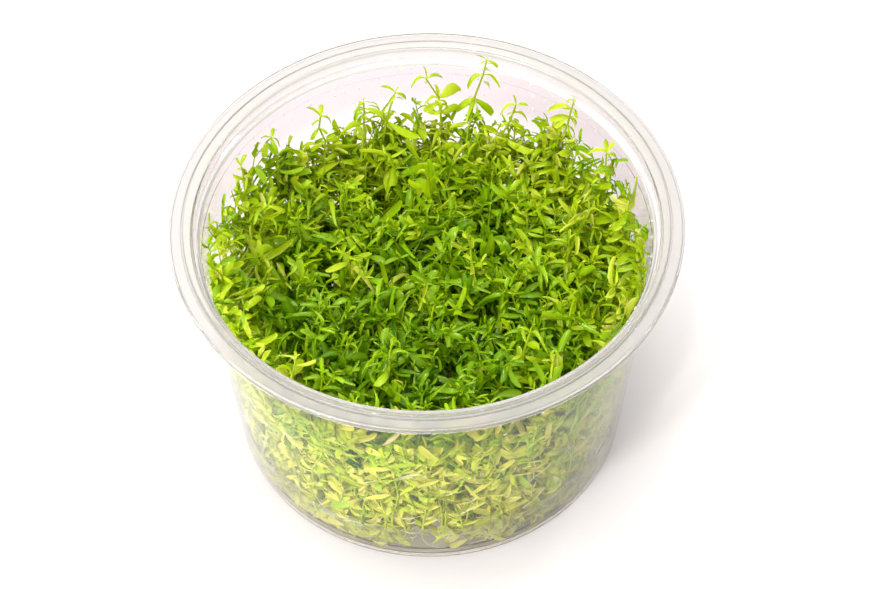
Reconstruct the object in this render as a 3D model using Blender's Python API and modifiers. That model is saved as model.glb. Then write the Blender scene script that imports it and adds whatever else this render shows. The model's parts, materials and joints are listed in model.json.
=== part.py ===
"""Pearlweed grown in a clear cup: the cup, its nutrient gel, the low tufts and the tall shoots.

Metres, +Z up. The cup stands on z = 0 with its axis on the Z axis, and the front of the
cup faces -Y.
"""

import math
import random

import bmesh
import bpy
from mathutils import Matrix, Vector

MM = 0.001

# The cup, a thin thermoformed shell
RIM_RADIUS = 50.5 * MM
CUP_HEIGHT = 61.0 * MM
WALL = 0.6 * MM
CUP_SIDES = 36
ARC_STEPS = 2
RIM_ROLL = 0.8 * MM
FLANGE_DROP = 1.4 * MM
FLANGE_STEP = 0.4 * MM
BEAD_RADIUS = 46.75 * MM
BEAD_ROUND = 0.95 * MM
BEAD_END = 50
GROOVE_RADIUS = 48.1 * MM
LEDGE_HEIGHT = 58.0 * MM
LEDGE_DIP = 0.4 * MM
LEDGE_UNDER = 1.0 * MM
WALL_TOP_RADIUS = 45.35 * MM
WALL_FOOT_RADIUS = 41.0 * MM
CORNER_ROUND = 2.6 * MM
RING_WIDTH = 1.2 * MM
PANEL_RISE = 0.6 * MM

# Pieces that touch in the real cup keep this gap, and points this close are made one
CONTACT_GAP = 0.3 * MM
WELD = 0.01 * MM

# The gel, a clear disc that climbs a little at the wall
GEL_LEVEL = 10.7 * MM
GEL_CLIMB = 0.6 * MM
GEL_CLIMB_WIDTH = 2.2 * MM

# The low tufts, each grown from one cutting
TUFTS = 30
TUFT_SPREAD = 0.96
TUFT_ROOM = 0.4 * MM
TUFT_WIDEST = 11.0 * MM
TUFT_CROWN = 0.94
MAT_HEIGHT = 38.5 * MM
MAT_DISH = 3.0 * MM
MAT_SIDES = 3.0 * MM
MAT_UNEVEN = 1.8 * MM
LEAVES_PER_WHORL = 5
LEAF_SPREAD = (0.85, 1.0)
LEAF_LIFT = (0.4, 1.0)
# Height of each ring as a share of the tuft, the width of its core as a share of the room
# that the tuft has, and how far its leaf tips rise, where it has leaves
TUFT_RINGS = (
    (0.00, 0.50, 0.0 * MM),
    (0.22, 0.78, 4.0 * MM),
    (0.40, 0.62, 0.0 * MM),
    (0.52, 0.80, 4.0 * MM),
    (0.70, 0.66, 0.0 * MM),
    (0.80, 0.78, 6.0 * MM),
)
GOLDEN_ANGLE = math.pi * (3 - math.sqrt(5))

# The tall shoots that stand above the tufts
STEM_RADIUS = 0.38 * MM
STEM_ROOM = 1.25 * MM
STEM_FROM_TUFT = 5.0 * MM
FOOT_MOVES = 40
LEAF_LENGTH = 4.9 * MM
LEAF_WIDTH = 1.8 * MM
LEAF_THICK = 0.7 * MM
LEAF_WIDEST = 0.6
LEAF_TILT = math.radians(28)
TILT_RANGE = (0.5, 1.3)
LEAF_TWIST = 0.2
SHORTEST_LEAF = 0.8 * MM
TRIM_STEP = 0.2 * MM
NODE_SPACING = 5.4 * MM
TIP_SPACING = 2.4 * MM
LEAF_START = 0.12 * MM
TIP_LEAF_SHARE = 0.6
TIP_LEAF_GROWTH = 0.2
LEAF_PAIRS = 4
BEND_SHARE = 0.4
BEND_LIFT = 0.1

# Each shoot: the x, y and z of its tip, then the x and y of its foot, in millimetres
SHOOTS = (
    (-21.0, 33.5, 56.5, -20.0, 30.0),
    (-12.5, 37.0, 54.0, -13.5, 32.0),
    (-5.5, 38.5, 55.5, -8.5, 35.0),
    (0.5, 40.5, 58.0, 3.5, 37.0),
    (13.4, 42.5, 59.5, 8.0, 33.0),
    (19.2, 37.0, 53.5, 15.0, 31.0),
    (30.9, 32.0, 59.0, 27.0, 28.0),
    (37.3, 21.0, 53.5, 34.0, 19.0),
    (40.5, 8.0, 49.0, 38.0, 6.0),
    (-31.0, 28.5, 54.5, -29.0, 25.0),
    (-37.0, 20.5, 52.5, -34.5, 18.5),
    (-42.3, 6.0, 51.5, -38.5, 4.0),
    (-32.0, 13.5, 50.0, -32.5, 11.0),
    (0.3, 22.0, 49.0, 1.0, 19.0),
    (33.5, 11.0, 49.5, 27.0, 5.0),
    (-7.0, -20.0, 47.5, -8.0, -23.0),
    (-26.0, -24.0, 47.5, -24.0, -26.0),
    (20.0, -18.0, 48.0, 20.0, -21.0),
    (8.0, 6.0, 48.0, 8.0, 3.0),
    (-16.0, 2.0, 48.0, -15.0, 0.0),
    (28.0, -9.0, 48.0, 29.0, -11.0),
    (-37.0, -8.0, 48.5, -37.0, -9.0),
)

SEED = 7


def clear_scene():
    for obj in list(bpy.data.objects):
        bpy.data.objects.remove(obj, do_unlink=True)


def collection(name):
    made = bpy.data.collections.new(name)
    bpy.context.scene.collection.children.link(made)
    return made


def principled(name, colour, roughness, transmission=0.0, ior=1.45):
    material = bpy.data.materials.new(name)
    material.use_nodes = True
    shader = material.node_tree.nodes["Principled BSDF"]
    shader.inputs["Base Color"].default_value = (*colour, 1.0)
    shader.inputs["Roughness"].default_value = roughness
    shader.inputs["Metallic"].default_value = 0.0
    shader.inputs["Transmission Weight"].default_value = transmission
    shader.inputs["IOR"].default_value = ior
    return material


def arc(centre, radius, start, end, steps):
    """Points of an arc in the (radius, height) plane, its angles in degrees."""
    points = []
    for i in range(steps + 1):
        angle = math.radians(start + (end - start) * i / steps)
        x = centre[0] + radius * math.cos(angle)
        z = centre[1] + radius * math.sin(angle)
        points.append((x, z))
    return points


def turned(name, profile, material, home):
    """A body turned round the Z axis from a profile whose two ends are on the axis."""
    mesh = bpy.data.meshes.new(name)
    points = [(x, 0.0, z) for x, z in profile]
    edges = [(i, i + 1) for i in range(len(points) - 1)]
    mesh.from_pydata(points, edges, [])
    obj = bpy.data.objects.new(name, mesh)
    home.objects.link(obj)
    screw = obj.modifiers.new("Turn", "SCREW")
    screw.steps = CUP_SIDES
    screw.render_steps = CUP_SIDES
    screw.use_merge_vertices = True
    screw.merge_threshold = WELD
    screw.use_smooth_shade = True
    mesh.materials.append(material)
    return obj


def wall_radius(height):
    """Inside radius of the cup's tapered wall at a height."""
    share = (height - CORNER_ROUND) / (LEDGE_HEIGHT - CORNER_ROUND)
    outside = WALL_FOOT_RADIUS + (WALL_TOP_RADIUS - WALL_FOOT_RADIUS) * share
    return outside - WALL


def cup_profile():
    """From the middle of the floor, up the inside, over the rim and down the outside."""
    corner = (WALL_FOOT_RADIUS - CORNER_ROUND, CORNER_ROUND)
    ring_in = corner[0] - RING_WIDTH
    panel = ring_in - PANEL_RISE
    neck_in = BEAD_RADIUS - BEAD_ROUND
    flange_top = CUP_HEIGHT - FLANGE_STEP
    inside = [(0.0, PANEL_RISE + WALL), (panel, PANEL_RISE + WALL), (ring_in, WALL)]
    inside += arc(corner, CORNER_ROUND - WALL, -90, 0, ARC_STEPS)
    inside += [(wall_radius(LEDGE_HEIGHT), LEDGE_HEIGHT - LEDGE_DIP)]
    inside += [(neck_in, LEDGE_HEIGHT)]
    bead = (BEAD_RADIUS, CUP_HEIGHT - BEAD_ROUND)
    inside += arc(bead, BEAD_ROUND, 180, BEAD_END, ARC_STEPS)
    rim = [(GROOVE_RADIUS, flange_top - FLANGE_STEP)]
    rim += [(GROOVE_RADIUS + RIM_ROLL, flange_top)]
    rim += arc((RIM_RADIUS - RIM_ROLL, flange_top - RIM_ROLL), RIM_ROLL, 90, 0, ARC_STEPS)
    skirt = CUP_HEIGHT - FLANGE_DROP
    rim += [(RIM_RADIUS, skirt), (RIM_RADIUS - WALL, skirt)]
    under = flange_top - RIM_ROLL
    rim += [(RIM_RADIUS - WALL, under), (neck_in + WALL, under)]
    outside = [(neck_in + WALL, LEDGE_HEIGHT - LEDGE_DIP)]
    outside += [(WALL_TOP_RADIUS, LEDGE_HEIGHT - LEDGE_UNDER)]
    outside += arc(corner, CORNER_ROUND, 0, -90, ARC_STEPS)
    outside += [(ring_in, 0.0), (panel, PANEL_RISE), (0.0, PANEL_RISE)]
    return inside + rim + outside


def gel_profile():
    """From the middle of the gel's top, out to the wall, down it and back along the floor."""
    corner = (WALL_FOOT_RADIUS - CORNER_ROUND, CORNER_ROUND)
    ring_in = corner[0] - RING_WIDTH
    panel = ring_in - PANEL_RISE
    edge = GEL_LEVEL + GEL_CLIMB
    edge_radius = wall_radius(edge) - CONTACT_GAP
    floor = WALL + CONTACT_GAP
    points = [(0.0, GEL_LEVEL), (edge_radius - GEL_CLIMB_WIDTH, GEL_LEVEL)]
    points += [(edge_radius, edge)]
    points += arc(corner, CORNER_ROUND - WALL - CONTACT_GAP, 0, -90, ARC_STEPS)
    points += [(ring_in, floor), (panel, floor + PANEL_RISE), (0.0, floor + PANEL_RISE)]
    return points


def flare(height):
    """How much wider the cup is at a height than at the gel's surface."""
    return wall_radius(height) / wall_radius(GEL_LEVEL)


def mat_height(place):
    """Height of the leaf mat over a place on the gel: it climbs the wall, most at the sides."""
    edge = place.length / wall_radius(GEL_LEVEL)
    side = place.x / wall_radius(GEL_LEVEL)
    return MAT_HEIGHT + MAT_DISH * edge ** 2 + MAT_SIDES * side ** 2


def tuft_centres():
    """The cuttings, set out evenly over the gel in a spiral."""
    edge = wall_radius(GEL_LEVEL) * TUFT_SPREAD
    centres = []
    for i in range(TUFTS):
        radius = edge * math.sqrt((i + 0.5) / TUFTS)
        angle = i * GOLDEN_ANGLE
        centres.append(Vector((radius * math.cos(angle), radius * math.sin(angle))))
    return centres


def shoot_feet(centres):
    """Where each tall shoot comes out of the gel, moved into the room between the tufts."""
    feet = []
    most = wall_radius(GEL_LEVEL) - CONTACT_GAP - 2 * STEM_RADIUS
    for row in SHOOTS:
        foot = Vector((row[3] * MM, row[4] * MM))
        for _ in range(FOOT_MOVES):
            near = min(centres, key=lambda centre: (centre - foot).length)
            away = foot - near
            if away.length < STEM_FROM_TUFT:
                foot += away.normalized() * (STEM_FROM_TUFT - away.length)
            if foot.length > most:
                foot *= most / foot.length
        feet.append(foot)
    return feet


def reach(index, angle, centres, feet):
    """How far a tuft may grow along an angle before it meets a neighbour, a shoot or the
    wall, measured at the gel's surface."""
    centre = centres[index]
    ray = Vector((math.cos(angle), math.sin(angle)))
    along = centre.dot(ray)
    wall = (wall_radius(GEL_LEVEL) - CONTACT_GAP) * math.cos(math.pi / CUP_SIDES)
    limit = math.sqrt(along * along - centre.length_squared + wall * wall) - along
    limit = min(limit, TUFT_WIDEST)
    planes = [((other - centre) / 2, TUFT_ROOM / 2) for other in centres]
    planes += [(foot - centre, STEM_ROOM) for foot in feet]
    for i, (offset, room) in enumerate(planes):
        if i == index:
            continue
        facing = ray.dot(offset.normalized())
        if facing > 0:
            limit = min(limit, (offset.length - room) / facing)
    return limit


def tuft_point(centre, angle, radius, height):
    """A point of a tuft, spread outwards with height as the cup's wall is."""
    wide = flare(height)
    x = (centre.x + radius * math.cos(angle)) * wide
    y = (centre.y + radius * math.sin(angle)) * wide
    return Vector((x, y, height))


def tuft_rings(index, centres, feet, dice):
    """Rings of a tuft from its foot up, with leaf tips on every other one, and its crown."""
    centre = centres[index]
    sides = 2 * LEAVES_PER_WHORL
    foot = GEL_LEVEL + GEL_CLIMB + CONTACT_GAP
    top = mat_height(centre) + dice.uniform(-MAT_UNEVEN, MAT_UNEVEN)
    turn = dice.uniform(0, math.tau)
    rings = []
    for level, (share, core, rise) in enumerate(TUFT_RINGS):
        height = foot + (top - foot) * share
        ring = []
        for side in range(sides):
            angle = turn + side * math.tau / sides
            width = core
            lift = 0.0
            if rise and (side + level // 2) % 2 == 0:
                width = dice.uniform(*LEAF_SPREAD)
                lift = rise * dice.uniform(*LEAF_LIFT)
            radius = width * reach(index, angle, centres, feet)
            ring.append(tuft_point(centre, angle, radius, height + lift))
        rings.append(ring)
    crown = foot + (top - foot) * TUFT_CROWN
    return rings, tuft_point(centre, 0.0, 0.0, crown)


def tuft(index, centres, feet, material, home, dice):
    """A bunch of leafy stems as one loft of star-shaped rings, closed at foot and top."""
    rings, apex = tuft_rings(index, centres, feet, dice)
    bm = bmesh.new()
    rows = [[bm.verts.new(point) for point in ring] for ring in rings]
    for low, high in zip(rows, rows[1:]):
        for i in range(len(low)):
            j = (i + 1) % len(low)
            bm.faces.new((low[i], low[j], high[j], high[i]))
    bm.faces.new(tuple(reversed(rows[0])))
    peak = bm.verts.new(apex)
    for i in range(len(rows[-1])):
        j = (i + 1) % len(rows[-1])
        bm.faces.new((rows[-1][i], rows[-1][j], peak))
    bmesh.ops.triangulate(bm, faces=bm.faces)
    bmesh.ops.recalc_face_normals(bm, faces=bm.faces)
    name = f"tuft_{index + 1:02d}"
    mesh = bpy.data.meshes.new(name)
    bm.to_mesh(mesh)
    bm.free()
    mesh.materials.append(material)
    obj = bpy.data.objects.new(name, mesh)
    home.objects.link(obj)
    return obj


def shoot_path(row, foot):
    """Centre line of a shoot: up between the tufts, then leaning to its tip."""
    tip = Vector(row[:3]) * MM
    start = GEL_LEVEL + GEL_CLIMB + CONTACT_GAP
    free = mat_height(foot) + MAT_UNEVEN + CONTACT_GAP
    low = Vector((*(foot * flare(start)), start))
    high = Vector((*(foot * flare(free)), free))
    bend = high.lerp(tip, BEND_SHARE)
    bend.z = high.z + (tip.z - high.z) * (BEND_SHARE + BEND_LIFT)
    return [low, high, bend, tip]


def point_at_height(path, height):
    """Where a shoot's centre line passes a height."""
    for low, high in zip(path, path[1:]):
        if low.z <= height <= high.z:
            return low.lerp(high, (height - low.z) / (high.z - low.z))
    return path[-1].copy()


def add_leaf(bm, base, angle, length, tilt):
    """A leaf as a flat eight-sided blade, narrow where it joins the stem."""
    made = bmesh.ops.create_uvsphere(bm, u_segments=4, v_segments=2, radius=0.5)
    for vert in made["verts"]:
        share = vert.co.z + 0.5
        if abs(vert.co.z) < 0.1:
            share = LEAF_WIDEST
        wide = vert.co.y * LEAF_WIDTH
        thick = vert.co.x * LEAF_THICK
        vert.co = Vector((share * length - LEAF_START, wide, thick))
    place = Matrix.Translation(base) @ Matrix.Rotation(angle, 4, "Z")
    place = place @ Matrix.Rotation(-tilt, 4, "Y")
    bmesh.ops.transform(bm, matrix=place, verts=made["verts"])


def leaf_room(base, angle, tilt):
    """Length that a leaf may have before its tip comes to the cup's wall."""
    room = LEAF_LENGTH
    while room > SHORTEST_LEAF:
        flat = room * math.cos(tilt)
        x = base.x + flat * math.cos(angle)
        y = base.y + flat * math.sin(angle)
        height = base.z + room * math.sin(tilt)
        if math.hypot(x, y) < wall_radius(height) - 2 * CONTACT_GAP:
            break
        room -= TRIM_STEP
    return room


def shoot_leaves(path, low, dice):
    """Opposite leaves down the shoot, each pair turned a quarter from the last."""
    bm = bmesh.new()
    angle = dice.uniform(0, math.pi)
    height = path[-1].z - STEM_RADIUS
    share = TIP_LEAF_SHARE
    for _ in range(LEAF_PAIRS):
        if height < low:
            break
        base = point_at_height(path, height)
        for turn in (0.0, math.pi):
            tilt = LEAF_TILT * dice.uniform(*TILT_RANGE)
            if share < 1:
                tilt += LEAF_TILT
            length = share * leaf_room(base, angle + turn, tilt)
            add_leaf(bm, base, angle + turn, length, tilt)
        angle += math.pi / 2 + dice.uniform(-LEAF_TWIST, LEAF_TWIST)
        height -= TIP_SPACING if share == TIP_LEAF_SHARE else NODE_SPACING
        share = min(1.0, share + TIP_LEAF_GROWTH)
    mesh = bpy.data.meshes.new("leaves")
    bm.to_mesh(mesh)
    bm.free()
    return bpy.data.objects.new("leaves", mesh)


def tube(name, path, radius):
    """A tube along a path, made from a curve and welded at its caps."""
    curve = bpy.data.curves.new(name, "CURVE")
    curve.dimensions = "3D"
    curve.bevel_depth = radius
    curve.bevel_resolution = 0
    curve.use_fill_caps = True
    spline = curve.splines.new("POLY")
    spline.points.add(len(path) - 1)
    for point, place in zip(spline.points, path):
        point.co = (*place, 1.0)
    guide = bpy.data.objects.new(name + "_guide", curve)
    bpy.context.scene.collection.objects.link(guide)
    graph = bpy.context.evaluated_depsgraph_get()
    mesh = bpy.data.meshes.new_from_object(guide.evaluated_get(graph))
    bpy.data.objects.remove(guide, do_unlink=True)
    bm = bmesh.new()
    bm.from_mesh(mesh)
    bmesh.ops.remove_doubles(bm, verts=bm.verts, dist=WELD)
    bmesh.ops.recalc_face_normals(bm, faces=bm.faces)
    bm.to_mesh(mesh)
    bm.free()
    mesh.name = name
    return mesh


def shoot(index, foot, material, home, cutters, dice):
    """A tall shoot: its stem, with the leaves joined to it."""
    row = SHOOTS[index]
    path = shoot_path(row, foot)
    name = f"tall_shoot_{index + 1:02d}"
    mesh = tube(name, path, STEM_RADIUS)
    mesh.materials.clear()
    mesh.materials.append(material)
    obj = bpy.data.objects.new(name, mesh)
    home.objects.link(obj)
    leaves = shoot_leaves(path, path[1].z + LEAF_THICK, dice)
    leaves.name = name + "_leaves"
    leaves.hide_render = True
    leaves.display_type = "WIRE"
    cutters.objects.link(leaves)
    join = obj.modifiers.new("Leaves", "BOOLEAN")
    join.operation = "UNION"
    join.solver = "EXACT"
    join.object = leaves
    join.use_self = True
    return obj


def main():
    clear_scene()
    dice = random.Random(SEED)
    plant = collection("pearlweed")
    cutters = collection("joined leaves")
    clear_plastic = principled("clear_plastic", (0.86, 0.87, 0.85), 0.08, 1.0, 1.49)
    gel_clear = principled("nutrient_gel", (0.62, 0.62, 0.57), 0.2, 0.7, 1.34)
    leaf_green = principled("leaf_green", (0.14, 0.36, 0.01), 0.42)
    shoot_green = principled("shoot_green", (0.23, 0.46, 0.02), 0.38)

    turned("cup", cup_profile(), clear_plastic, plant)
    turned("nutrient_gel", gel_profile(), gel_clear, plant)
    centres = tuft_centres()
    feet = shoot_feet(centres)
    for index in range(TUFTS):
        tuft(index, centres, feet, leaf_green, plant, dice)
    for index, foot in enumerate(feet):
        shoot(index, foot, shoot_green, plant, cutters, dice)


main()
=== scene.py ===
# %% [markdown]
# # Pearlweed in a clear culture cup
# The object is one portion of an aquarium plant as it is sold: small bright green leaves
# in pairs on thin stems, rooted in a layer of milky nutrient gel, in an open cup of clear
# plastic. The CAD part gives the places and the outer forms. This script puts the looks
# on them: the clear rim, the gel with its roots, and thousands of single leaves.

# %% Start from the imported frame
import json
import math
import random

import bmesh
import bpy
from mathutils import Matrix, Vector

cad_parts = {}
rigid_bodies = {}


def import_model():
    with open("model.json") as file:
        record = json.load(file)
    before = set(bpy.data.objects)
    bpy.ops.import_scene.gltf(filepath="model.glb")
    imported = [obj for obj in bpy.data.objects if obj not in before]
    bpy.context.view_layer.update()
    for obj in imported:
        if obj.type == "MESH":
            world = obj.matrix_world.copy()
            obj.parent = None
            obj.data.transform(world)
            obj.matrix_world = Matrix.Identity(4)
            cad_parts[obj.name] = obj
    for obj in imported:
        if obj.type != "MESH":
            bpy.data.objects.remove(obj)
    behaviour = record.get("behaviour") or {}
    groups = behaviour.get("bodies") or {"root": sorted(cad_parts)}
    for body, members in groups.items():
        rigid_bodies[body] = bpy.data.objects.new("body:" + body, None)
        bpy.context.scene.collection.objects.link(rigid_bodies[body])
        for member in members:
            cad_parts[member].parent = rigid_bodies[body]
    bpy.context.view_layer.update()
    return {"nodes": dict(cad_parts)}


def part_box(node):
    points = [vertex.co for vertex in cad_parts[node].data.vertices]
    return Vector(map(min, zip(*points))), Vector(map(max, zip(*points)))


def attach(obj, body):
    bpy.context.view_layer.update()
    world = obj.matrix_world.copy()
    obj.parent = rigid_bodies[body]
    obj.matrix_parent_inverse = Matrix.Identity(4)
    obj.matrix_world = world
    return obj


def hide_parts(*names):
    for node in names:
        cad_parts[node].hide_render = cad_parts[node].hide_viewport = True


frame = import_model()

MM = 0.001
print("nodes in the frame:", len(frame["nodes"]))

# %% [markdown]
# Most sizes come from the frame. The cup's box gives the rim and the height. The wall is
# a plain cone between the corner at the foot and the ledge below the rim, so two radii
# and two heights say how wide the cup is at any level.

# %% Main sizes of the cup
cup_low, cup_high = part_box("cup")
RIM_RADIUS = cup_high.x
CUP_HEIGHT = cup_high.z
WALL = 0.6 * MM
LEDGE_HEIGHT = CUP_HEIGHT - 3.0 * MM
LEDGE_DIP = 0.4 * MM
CORNER_ROUND = 2.6 * MM
WALL_TOP_RADIUS = RIM_RADIUS - 5.15 * MM
WALL_FOOT_RADIUS = RIM_RADIUS - 9.5 * MM
WALL_SLOPE = (WALL_TOP_RADIUS - WALL_FOOT_RADIUS) / (LEDGE_HEIGHT - CORNER_ROUND)


def wall_radius(height):
    """Inside radius of the cup's wall at a height."""
    return WALL_FOOT_RADIUS - WALL + WALL_SLOPE * (height - CORNER_ROUND)


GEL_LEVEL = 10.7 * MM
print("rim radius", round(RIM_RADIUS / MM, 1), "mm, gel surface",
      round(2 * wall_radius(GEL_LEVEL) / MM, 1), "mm across")

# %% [markdown]
# ## Materials
# A material is a small tree of shader nodes. These helpers make a new one, and set or
# link the inputs of a node in one call, so that each finish below reads as a recipe.
# A ramp that only gives an amount takes plain numbers, which `greys` turns into greys.

# %% Helpers for material trees
def new_material(name):
    """An empty material, with its nodes and its output."""
    material = bpy.data.materials.new(name)
    material.use_nodes = True
    nodes = material.node_tree.nodes
    nodes.clear()
    return material, nodes.new("ShaderNodeOutputMaterial")


def add_node(tree, kind, inputs=None, **settings):
    """A node with its settings, and with its inputs set to values or linked to sockets."""
    node = tree.nodes.new(kind)
    for key, value in settings.items():
        setattr(node, key, value)
    for key, value in (inputs or {}).items():
        if isinstance(value, bpy.types.NodeSocket):
            tree.links.new(value, node.inputs[key])
        else:
            node.inputs[key].default_value = value
    return node


def colour_ramp(tree, factor, stops):
    """A ramp from (place, colour) pairs."""
    ramp = add_node(tree, "ShaderNodeValToRGB", {"Fac": factor})
    elements = ramp.color_ramp.elements
    while len(elements) < len(stops):
        elements.new(0.5)
    for element, (place, colour) in zip(elements, stops):
        element.position = place
        element.color = (*colour, 1.0)
    return ramp.outputs["Color"]


def greys(*stops):
    """Grey stops for a ramp, from (place, amount) pairs."""
    return [(place, (amount,) * 3) for place, amount in stops]


def maths(tree, operation, *values):
    """The result of one Math node."""
    node = add_node(tree, "ShaderNodeMath", dict(enumerate(values)), operation=operation)
    return node.outputs["Value"]


def blend(tree, amount, first, second):
    """The first shader with an amount of the second mixed in."""
    mix = add_node(tree, "ShaderNodeMixShader", {"Fac": amount, 1: first, 2: second})
    return mix.outputs["Shader"]


def let_lamps_through(tree, shader, output, shade=(0.93, 0.94, 0.93, 1.0)):
    """Mixes a clear shader with a transparent one on shadow rays, and ends the tree."""
    path = add_node(tree, "ShaderNodeLightPath")
    clear = add_node(tree, "ShaderNodeBsdfTransparent", {"Color": shade})
    mixed = blend(tree, path.outputs["Is Shadow Ray"], shader, clear.outputs["BSDF"])
    tree.links.new(mixed, output.inputs["Surface"])


# %% [markdown]
# The cup is thin clear plastic, and a clear Principled shader gives it its bright lines.
# The tint, the gloss and the bending of light change with height, because the rim is
# thicker and shinier than the wall. A little diffuse haze is mixed in at two places. At
# the bend under the ledge, it stops light that would run on inside the wall until it is
# lost, which would draw a dark line. On the flange, it gives the milky band of the real
# rim, and the outer edge stays clear so that its thin outlines show. Light from a lamp
# can't pass a refracting shader directly, so shadow rays see it as transparent.

# %% Clear plastic
WALL_TINT = (0.92, 0.90, 0.87)
NECK_TINT = (0.77, 0.70, 0.735)
LEDGE_TINT = (0.84, 0.79, 0.80)
FLANGE_TINT = (0.61, 0.59, 0.58)
BEAD_TINT = (0.76, 0.75, 0.67)
WALL_SHADE = (0.95, 0.94, 0.92)
RIM_SHADE = (0.66, 0.65, 0.63)
WALL_GLOSS = (0.30, 0.30, 0.28)
RIM_GLOSS = (1.0, 1.0, 0.96)
BEND = (LEDGE_HEIGHT - LEDGE_DIP) / CUP_HEIGHT
print("the bend is at", round(BEND, 3), "of the height")


# %% The plastic's tree
def clear_plastic_finish():
    """Clear plastic whose tint, gloss and haze follow the height and the radius."""
    material, output = new_material("clear plastic")
    tree = material.node_tree
    place = add_node(tree, "ShaderNodeTexCoord").outputs["Object"]
    height = add_node(tree, "ShaderNodeSeparateXYZ", {"Vector": place}).outputs["Z"]
    share = maths(tree, "DIVIDE", height, CUP_HEIGHT)
    damp = add_node(tree, "ShaderNodeTexNoise", {
        "Vector": place, "Scale": 160.0, "Detail": 3.0}).outputs["Fac"]
    rough = add_node(tree, "ShaderNodeMapRange", {
        "Value": damp, "From Min": 0.35, "From Max": 0.7, "To Min": 0.02, "To Max": 0.06})
    bump = add_node(tree, "ShaderNodeBump", {
        "Height": damp, "Strength": 0.10, "Distance": 0.0002})
    tint = colour_ramp(tree, share, [
        (0.0, WALL_TINT), (0.68, WALL_TINT), (0.80, NECK_TINT), (0.925, NECK_TINT),
        (0.94, LEDGE_TINT), (0.975, LEDGE_TINT), (0.985, FLANGE_TINT),
        (0.9945, FLANGE_TINT), (0.9965, BEAD_TINT), (1.0, BEAD_TINT)])
    gloss = colour_ramp(tree, share, [
        (0.0, WALL_GLOSS), (0.93, WALL_GLOSS), (0.95, RIM_GLOSS), (1.0, RIM_GLOSS)])
    bending = add_node(tree, "ShaderNodeMapRange", {
        "Value": share, "From Min": 0.93, "From Max": 0.95, "To Min": 1.25, "To Max": 1.46})
    clear = add_node(tree, "ShaderNodeBsdfPrincipled", {
        "Base Color": tint, "Roughness": rough.outputs["Result"],
        "IOR": bending.outputs["Result"], "Specular Tint": gloss,
        "Transmission Weight": 1.0, "Normal": bump.outputs["Normal"]})
    haze = add_node(tree, "ShaderNodeBsdfDiffuse", {"Color": (0.72, 0.70, 0.68, 1.0)})
    bend_haze = colour_ramp(tree, share, greys(
        (0.0, 0.004), (BEND - 0.014, 0.004), (BEND - 0.006, 0.80), (BEND, 0.80),
        (BEND + 0.004, 0.01), (1.0, 0.15)))
    flat = add_node(tree, "ShaderNodeVectorMath", {
        0: place, 1: (1.0, 1.0, 0.0)}, operation="MULTIPLY").outputs["Vector"]
    reach = add_node(tree, "ShaderNodeVectorMath", {0: flat}, operation="LENGTH")
    reach = maths(tree, "DIVIDE", reach.outputs["Value"], RIM_RADIUS)
    rim_haze = colour_ramp(tree, reach, greys(
        (0.0, 0.0), (0.945, 0.0), (0.958, 0.30), (0.984, 0.30), (0.992, 0.06), (1.0, 0.06)))
    amount = maths(tree, "MAXIMUM", bend_haze, rim_haze)
    hazy = blend(tree, amount, clear.outputs["BSDF"], haze.outputs["BSDF"])
    shade = colour_ramp(tree, share, [
        (0.0, WALL_SHADE), (0.94, WALL_SHADE), (0.96, RIM_SHADE), (1.0, RIM_SHADE)])
    let_lamps_through(tree, hazy, output, shade)
    return material


clear_plastic = clear_plastic_finish()
print("made", clear_plastic.name)

# %% [markdown]
# The gel is a water jelly, grey and a little cloudy. It is a rough, clear shader mixed
# with a diffuse one, which is far quicker to render than a true volume.

# %% Nutrient gel
GEL_MILK = 0.11


def gel_finish():
    """A clear jelly with a share of cloudy grey."""
    material, output = new_material("nutrient gel")
    tree = material.node_tree
    place = add_node(tree, "ShaderNodeTexCoord").outputs["Object"]
    cloud = add_node(tree, "ShaderNodeTexNoise", {
        "Vector": place, "Scale": 90.0, "Detail": 4.0}).outputs["Fac"]
    tone = colour_ramp(tree, cloud, [
        (0.3, (0.44, 0.43, 0.38)), (0.7, (0.60, 0.59, 0.50))])
    clear = add_node(tree, "ShaderNodeBsdfPrincipled", {
        "Base Color": (0.90, 0.89, 0.80, 1.0), "Roughness": 0.06,
        "IOR": 1.34, "Transmission Weight": 1.0})
    milk = add_node(tree, "ShaderNodeBsdfDiffuse", {"Color": tone})
    cloudy = blend(tree, GEL_MILK, clear.outputs["BSDF"], milk.outputs["BSDF"])
    let_lamps_through(tree, cloudy, output)
    return material


nutrient_gel = gel_finish()
print("made", nutrient_gel.name)

# %% [markdown]
# A leaf is bright green where light falls on it and glows yellow-green where light comes
# through it. So a glossy Principled shader is mixed with a Translucent one. Each leaf
# carries a number, `tint`, from dark green through fresh green to old yellow, and a ramp
# turns it into a colour. Besides the leaf's years, the tint carries painted shade, lower
# for the leaves deep in the mat, and painted light, higher at the back of the mat. The
# leaf's middle rib, a second attribute, is a little paler, and old leaves also get a pale
# border, a painted highlight for the glint of water along the edges, as the ones that lie
# against the wall have. Stems use the same tree, duller and without the border.

# %% Leaves and stems
RIB_PALE = (0.50, 0.68, 0.04, 1.0)
RIB_AMOUNT = 0.35
# The pale border of old leaves is a painted highlight, the glint of the water film along their
# edges.
PAINTED_EDGE_HIGHLIGHT = (0.92, 0.93, 0.52, 1.0)
LEAF_SHEEN = (0.95, 1.0, 0.60, 1.0)


def tinted(tree, amount, first, second):
    """The first colour with an amount of the second mixed in."""
    mix = add_node(tree, "ShaderNodeMixRGB", {
        "Fac": amount, "Color1": first, "Color2": second})
    return mix.outputs["Color"]


# The wet amount says how strongly old leaves get the painted edge highlight.
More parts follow.
